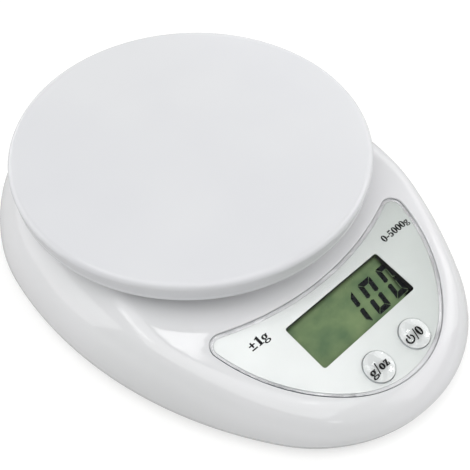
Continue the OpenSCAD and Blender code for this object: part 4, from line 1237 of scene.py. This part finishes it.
def oval(x, y, rx, ry, start=0, end=360, steps=36):
    return [
        (x + rx * math.cos(a), y + ry * math.sin(a))
        for a in (math.radians(start + (end - start) * i / steps) for i in range(steps + 1))
    ]


def ring_shape(x, y, rx, ry, side, level, start=0, end=360):
    """Outer and inner edge of a round stroke that is thicker at its sides than at its top."""
    return oval(x, y, rx, ry, start, end), oval(x, y, rx - side, ry - level, start, end)


# Each character: its width, its plain outlines and its round strokes, for a height of 1.
letter_shapes = {
    "0": (0.66, [], [ring_shape(0.34, 0.5, 0.33, 0.51, 0.25, 0.12)]),
    "o": (0.6, [], [ring_shape(0.3, 0.33, 0.29, 0.34, 0.22, 0.12)]),
    "1": (0.56, [
        [(0.06, 0), (0.54, 0), (0.54, 0.09), (0.42, 0.11), (0.42, 1.01), (0.35, 1.01),
         (0.06, 0.87), (0.06, 0.78), (0.18, 0.8), (0.18, 0.11), (0.06, 0.09)],
    ], []),
    "5": (0.64, [
        [(0.1, 1), (0.56, 1), (0.52, 0.8), (0.18, 0.8), (0.165, 0.62), (0.1, 0.6)],
        oval(0.12, 0.15, 0.09, 0.09)[:-1],
    ], [ring_shape(0.27, 0.31, 0.33, 0.33, 0.25, 0.13, -125, 145)]),
    "g": (0.62, [
        oval(0.53, 0.6, 0.075, 0.07)[:-1],
        [(0.36, 0.6), (0.52, 0.64), (0.52, 0.58), (0.4, 0.54)],
        [(0.1, 0.14), (0.2, 0.24), (0.28, 0.23), (0.2, 0.1)],
    ], [
        ring_shape(0.28, 0.44, 0.26, 0.26, 0.19, 0.11),
        ring_shape(0.29, -0.06, 0.3, 0.2, 0.15, 0.11),
    ]),
    "z": (0.54, [
        [(0.03, 0), (0.5, 0), (0.51, 0.26), (0.44, 0.26), (0.4, 0.12), (0.29, 0.12), (0.5, 0.6),
         (0.5, 0.66), (0.05, 0.66), (0.04, 0.42), (0.11, 0.42), (0.15, 0.54), (0.25, 0.54),
         (0.03, 0.06)],
    ], []),
    "/": (0.36, [[(0, -0.12), (0.12, -0.12), (0.4, 1.08), (0.28, 1.08)]], []),
    "+": (0.66, [
        [(0.04, 0.5), (0.04, 0.64), (0.24, 0.64), (0.24, 0.86), (0.38, 0.86), (0.38, 0.64),
         (0.58, 0.64), (0.58, 0.5), (0.38, 0.5), (0.38, 0.28), (0.24, 0.28), (0.24, 0.5)],
        [(0.04, 0.04), (0.58, 0.04), (0.58, 0.18), (0.04, 0.18)],
    ], []),
    "-": (0.46, [[(0.04, 0.29), (0.42, 0.29), (0.42, 0.45), (0.04, 0.45)]], []),
}


def round_stroke(outer, inner, lay):
    """Solid between the two edges of a round stroke: a closed ring, or one with two cut ends."""
    closed = math.dist(outer[0], outer[-1]) < 1e-6
    if closed:
        outer, inner = outer[:-1], inner[:-1]
    points = [lay(*p, side) for side in (0, 1) for edge in (outer, inner) for p in edge]
    n = len(outer)
    low_out, low_in, high_out, high_in = (range(k * n, k * n + n) for k in range(4))
    faces = []
    for i in range(n if closed else n - 1):
        j = (i + 1) % n
        for a, b in (
            (low_out, high_out), (high_out, high_in), (high_in, low_in), (low_in, low_out)
        ):
            faces.append((a[i], a[j], b[j], b[i]))
    if not closed:
        faces += [(low_out[i], high_out[i], high_in[i], low_in[i]) for i in (0, n - 1)]
    return new_piece("stroke", points, faces)


def dense(outline, gap=0.35):
    """The same outline with more points along its edges, to follow a curved surface."""
    points = []
    for a, b in zip(outline, outline[1:] + outline[:1]):
        parts = max(1, math.ceil(math.dist(a, b) / gap))
        points += [
            (a[0] + (b[0] - a[0]) * i / parts, a[1] + (b[1] - a[1]) * i / parts)
            for i in range(parts)
        ]
    return points


def on_film(u, v, side):
    """Underside (0) or top (1) of the ink on the printed film."""
    return on_panel(u, v, film_front + ink_lift + side * ink_thickness)


def printed(name, words, u, v, height, lay, body, spread):
    """Characters of ink, centred on a place of the film or of a button."""
    x = -sum(letter_shapes[c][0] for c in words) / 2
    pieces = []
    for c in words:
        width, outlines, strokes = letter_shapes[c]

        def inked(px, py, side):
            return lay(u + (x + px) * height * spread, v + (py - 0.45) * height, side)

        for k, outline in enumerate(outlines):
            edge = dense(outline, 0.1)
            pieces.append(lofted("outline", [
                [inked(*p, side - 0.1 * k) for p in edge] for side in (0, 1)
            ]))
        pieces += [round_stroke(*stroke, inked) for stroke in strokes]
        x += width
    layer = joined(pieces)
    layer.name = name
    fitted(layer, body, print_ink, "silver_film")


printed("print_step", "+1g", -37.5, 13.3, 3.9, on_film, "housing", 1.3)
printed("print_range", "0-5000g", 41.4, 12.6, 3.1, on_film, "housing", 1.2)


# Clear cover: an acrylic plate with a rounded edge, stuck into the recess over the printed film.
# Its rim stands clear of the film all round, and the buttons come up through two holes.
def clear_acrylic(name, roughness):
    """Clear plastic that lets the light of the lamps through to what lies behind it."""
    material, shader = new_finish(name, (255, 255, 255), roughness[0])
    with_values(shader, Transmission_Weight=1, IOR=1.49)
    varied_gloss(shader, cloud(shader, 6, 3), *roughness)
    choice = added(shader, "MixShader")
    linked(
        (added(shader, "LightPath").outputs["Is Shadow Ray"], choice.inputs["Fac"]),
        (shader.outputs["BSDF"], choice.inputs[1]),
        (added(shader, "BsdfTransparent").outputs["BSDF"], choice.inputs[2]),
        (choice.outputs["Shader"], surface_of(shader)),
    )
    return material


clear_cover = clear_acrylic("clear_cover", (0.0, 0.02))
cover_round, pocket_gap, upright_limit = 0.45, 0.03, 0.3
cover = lofted("display_cover", [
    [on_panel(u, v, n) for u, v in panel_outline(inward)]
    for inward, n in (
        (0.05, -cover_depth), (0, -cover_depth + 0.05), (0, -cover_round), (0.06, -0.26),
        (0.17, -0.1), (0.3, -0.02), (cover_round, 0), (cover_round + 0.4, 0),
    )
])
combined(cover, panel_slab(
    "pocket", panel_outline(film_rim - 0.05), -cover_depth - 1, film_front + pocket_gap
))
combined(cover, joined(button_holes(1)))
fitted(smoothed(cover, 28), "housing", clear_cover, "clear_cover", "panel_cover")

# The cut edges are opaque grey, with painted light and shade: dark grey at the rim, a painted
# shadow of the gap round the cover, and light grey at the button holes.
for name, low, high in (
    ("cover_rim_painted_shade", (118, 123, 128), (134, 139, 143)),
    ("cover_hole_painted_light", (196, 200, 204), (206, 210, 213)),
):
    cover.data.materials.append(moulded_plastic(
        name, low, high, gloss=(0.45, 0.6), drift=9, grain=0.4, depth=0.01
    ))
hole_y = on_panel(0, button_row, -cover_depth / 2)[1]
facing = Vector(on_panel(0, 0, 1)) - Vector(on_panel(0, 0, 0))
for face in cover.data.polygons:
    if abs(face.normal.dot(facing)) < upright_limit:
        at = face.center / MM
        out = math.hypot(abs(at.x) - button_side, at.y - hole_y)
        face.material_index = 2 if out < button_radius + 1 else 1

# Buttons: clear caps with a low dome over a silver disc, and a legend printed on each dome.
# A flange keeps each cap in behind the deck, and its stem reaches down to the switch.
dome_rise, cap_rise = 1.4, 0.3
dome_radius = (button_radius ** 2 + dome_rise ** 2) / (2 * dome_rise)
disc_top, flange_low, flange_top, flange_radius = 0.1, -4.9, -3.9, 7.5
stem_radius, stem_low, button_play, dome_ink_lift = 2, -5.2, 0.02, 0.012


def dome_level(out):
    """Height of a cap's dome at a distance from its middle."""
    return cap_rise + math.sqrt(dome_radius ** 2 - out ** 2) - (dome_radius - dome_rise)


def on_dome(u, v, side):
    """Underside (0) or top (1) of the ink on the dome of the nearer button."""
    out = min(math.hypot(abs(u) - button_side, v - button_row), 0.98 * button_radius)
    return on_panel(u, v, dome_level(out) + dome_ink_lift + side * ink_thickness)


clear_cap = clear_acrylic("clear_cap", (0.0, 0.03))
button_silver, shader = new_finish("button_silver", (192, 195, 194), 0.5)
tinted(shader, cloud(shader, 12), (188, 191, 191), (196, 199, 198))
varied_gloss(shader, cloud(shader, 0.25, 2), 0.45, 0.6)
relief(shader, cloud(shader, 0.12, 2), 0.003)
cap_profile = [
    (button_radius - button_play, disc_top + 0.03), (button_radius, disc_top + 0.06),
    (button_radius, cap_rise - 0.06),
] + [
    (button_radius * share, dome_level(button_radius * share))
    for share in (0.985, 0.95, 0.9, 0.8, 0.7, 0.6, 0.5, 0.4, 0.3, 0.2, 0.1, 0.03)
]
disc_profile = [
    (stem_radius, stem_low), (stem_radius, flange_low), (flange_radius - 0.1, flange_low),
    (flange_radius, flange_low + 0.1), (flange_radius, flange_top - 0.1),
    (flange_radius - 0.1, flange_top), (button_radius - button_play, flange_top),
    (button_radius - button_play, disc_top - 0.15), (button_radius - 0.17, disc_top),
]
for side, body, node in ((-1, "unit_button", "button_unit"), (1, "power_button", "button_power")):
    for kind, profile, material in (
        ("_cap", cap_profile, clear_cap), ("_disc", disc_profile, button_silver)
    ):
        part = lofted(node + kind, [
            [on_panel(u, v, n) for u, v in circle(side * button_side, button_row, r, 72)]
            for r, n in profile
        ])
        fitted(smoothed(part, 40), body, material, "button_plastic", node)

printed("legend_unit", "g/oz", -11.3, -23.6, 3.7, on_dome, "unit_button", 1.2)
printed("legend_zero", "/0", 11.1, -23.9, 3.8, on_dome, "power_button", 1.15)
mark_u, mark_v, mark_radius, mark_stroke = 6.8, -23.9, 1.8, 0.62
half_bar, bar_low, bar_high = mark_stroke / 2, 0.1, 2.1
mark_ring = [
    oval(mark_u, mark_v, r, r, 125, 415, 40) for r in (mark_radius, mark_radius - mark_stroke)
]
bar_outline = dense([
    (-half_bar, bar_low), (half_bar, bar_low), (half_bar, bar_high), (-half_bar, bar_high)
])
power_mark = joined([round_stroke(*mark_ring, on_dome), lofted("bar", [
    [on_dome(mark_u + x, mark_v + y, side) for x, y in bar_outline] for side in (0, 1)
])])
power_mark.name = "legend_power"
fitted(power_mark, "power_button", print_ink, "silver_film")

# Platter carrier: a white cross of four arms on the hub post, held by one screw.
# A rubber pad near the end of each arm grips the platter from below.
refined("carrier_cross", "platter_carrier", "platform", inner_finish, "inner_plastic", 0.3)
refined("carrier_bolt", "carrier_screw", "platform", screw_steel, "screw_steel", 0.2)
pad_rubber = moulded_plastic(
    "pad_rubber", (70, 70, 72), (84, 84, 86),
    gloss=(0.6, 0.75), drift=6, grain=0.5, depth=0.02, specular=0.35,
)
pads_low, pads_high = (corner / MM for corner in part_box("carrier_pads"))
pad_circle, pad_radius = 50, 5
pad_profile = [
    (pad_radius - 0.1, pads_low.z), (pad_radius, pads_low.z + 0.1),
    (pad_radius, pads_high.z - 0.35), (pad_radius - 0.1, pads_high.z - 0.12),
    (4.6, pads_high.z), (3.4, pads_high.z), (3.1, pads_high.z - 0.15), (1, pads_high.z - 0.2),
]
pads = joined([
    turned("pad", pad_profile, at, 64) for at in circle(0, platter_centre.y, pad_circle, 4)
])
pads.name = "carrier_grip_pads"
fitted(smoothed(pads, 40), "platform", pad_rubber, "pad_rubber", "carrier_pads")

# Weighing platter: a hollow satin moulding with a flat top, a rounded edge and a lip at its rim.
# Underneath, a notched ring fits round the carrier and four ribs stiffen the disc.
platter_finish = moulded_plastic(
    "platter_plastic", (221, 222, 225), (225, 226, 228),
    gloss=(0.22, 0.25), drift=70, grain=0.35, depth=0.003,
)
platter_radius, platter_top, platter_edge, skin_height = 75, platter_high.z, 2.5, 47.5
ring_low, ring_inner, ring_outer = 44.1, 17.4, 19.4
notch_long, notch_half, rib_end, rib_half = 40, 6.5, 71.9, 0.8
weld = 0.5
hub_at = (0, platter_centre.y)
profile = [(r, platter_top) for r in (1.5, 20, 50, 69, 71)]
profile += [
    (platter_radius - platter_edge + platter_edge * math.sin(a),
     platter_top - platter_edge + platter_edge * math.cos(a))
    for a in (math.radians(7.5 * i) for i in range(13))
]
profile += [
    (74.75, 45.5), (74.45, 43.2), (74.35, 42.6), (74.45, 42.1), (74.5, 41.6), (74.35, 41.2),
    (74.0, 41), (72.2, 41), (71.8, 41.3), (72.3, skin_height - 1), (71.8, skin_height),
    (1.5, skin_height),
]
platter = turned("weighing_plate", profile, hub_at, 256)
locating = turned("ring", [(ring_outer, ring_low), (ring_outer, skin_height + weld)], hub_at, 128)
combined(locating, turned(
    "bore", [(ring_inner, ring_low - 1), (ring_inner, skin_height + 1)], hub_at, 128
))
for half_x, half_y in ((notch_long, notch_half), (notch_half, notch_long)):
    combined(locating, box_block(
        -half_x, half_x, platter_centre.y - half_y, platter_centre.y + half_y,
        ring_low - 1, skin_height + 1,
    ))
ribs = []
for turn in (45, 135, 225, 315):
    rib = box_block(
        ring_outer - 1, rib_end, -rib_half, rib_half, ring_low + 0.2, skin_height + weld
    )
    rib.data.transform(
        Matrix.Translation((0, platter_centre.y * MM, 0))
        @ Matrix.Rotation(math.radians(turn), 4, "Z")
    )
    ribs.append(rib)
combined(locating, joined(ribs), "UNION")
combined(platter, locating, "UNION")
fitted(smoothed(platter, 30), "platter", platter_finish, "platter_plastic", "weighing_platter")
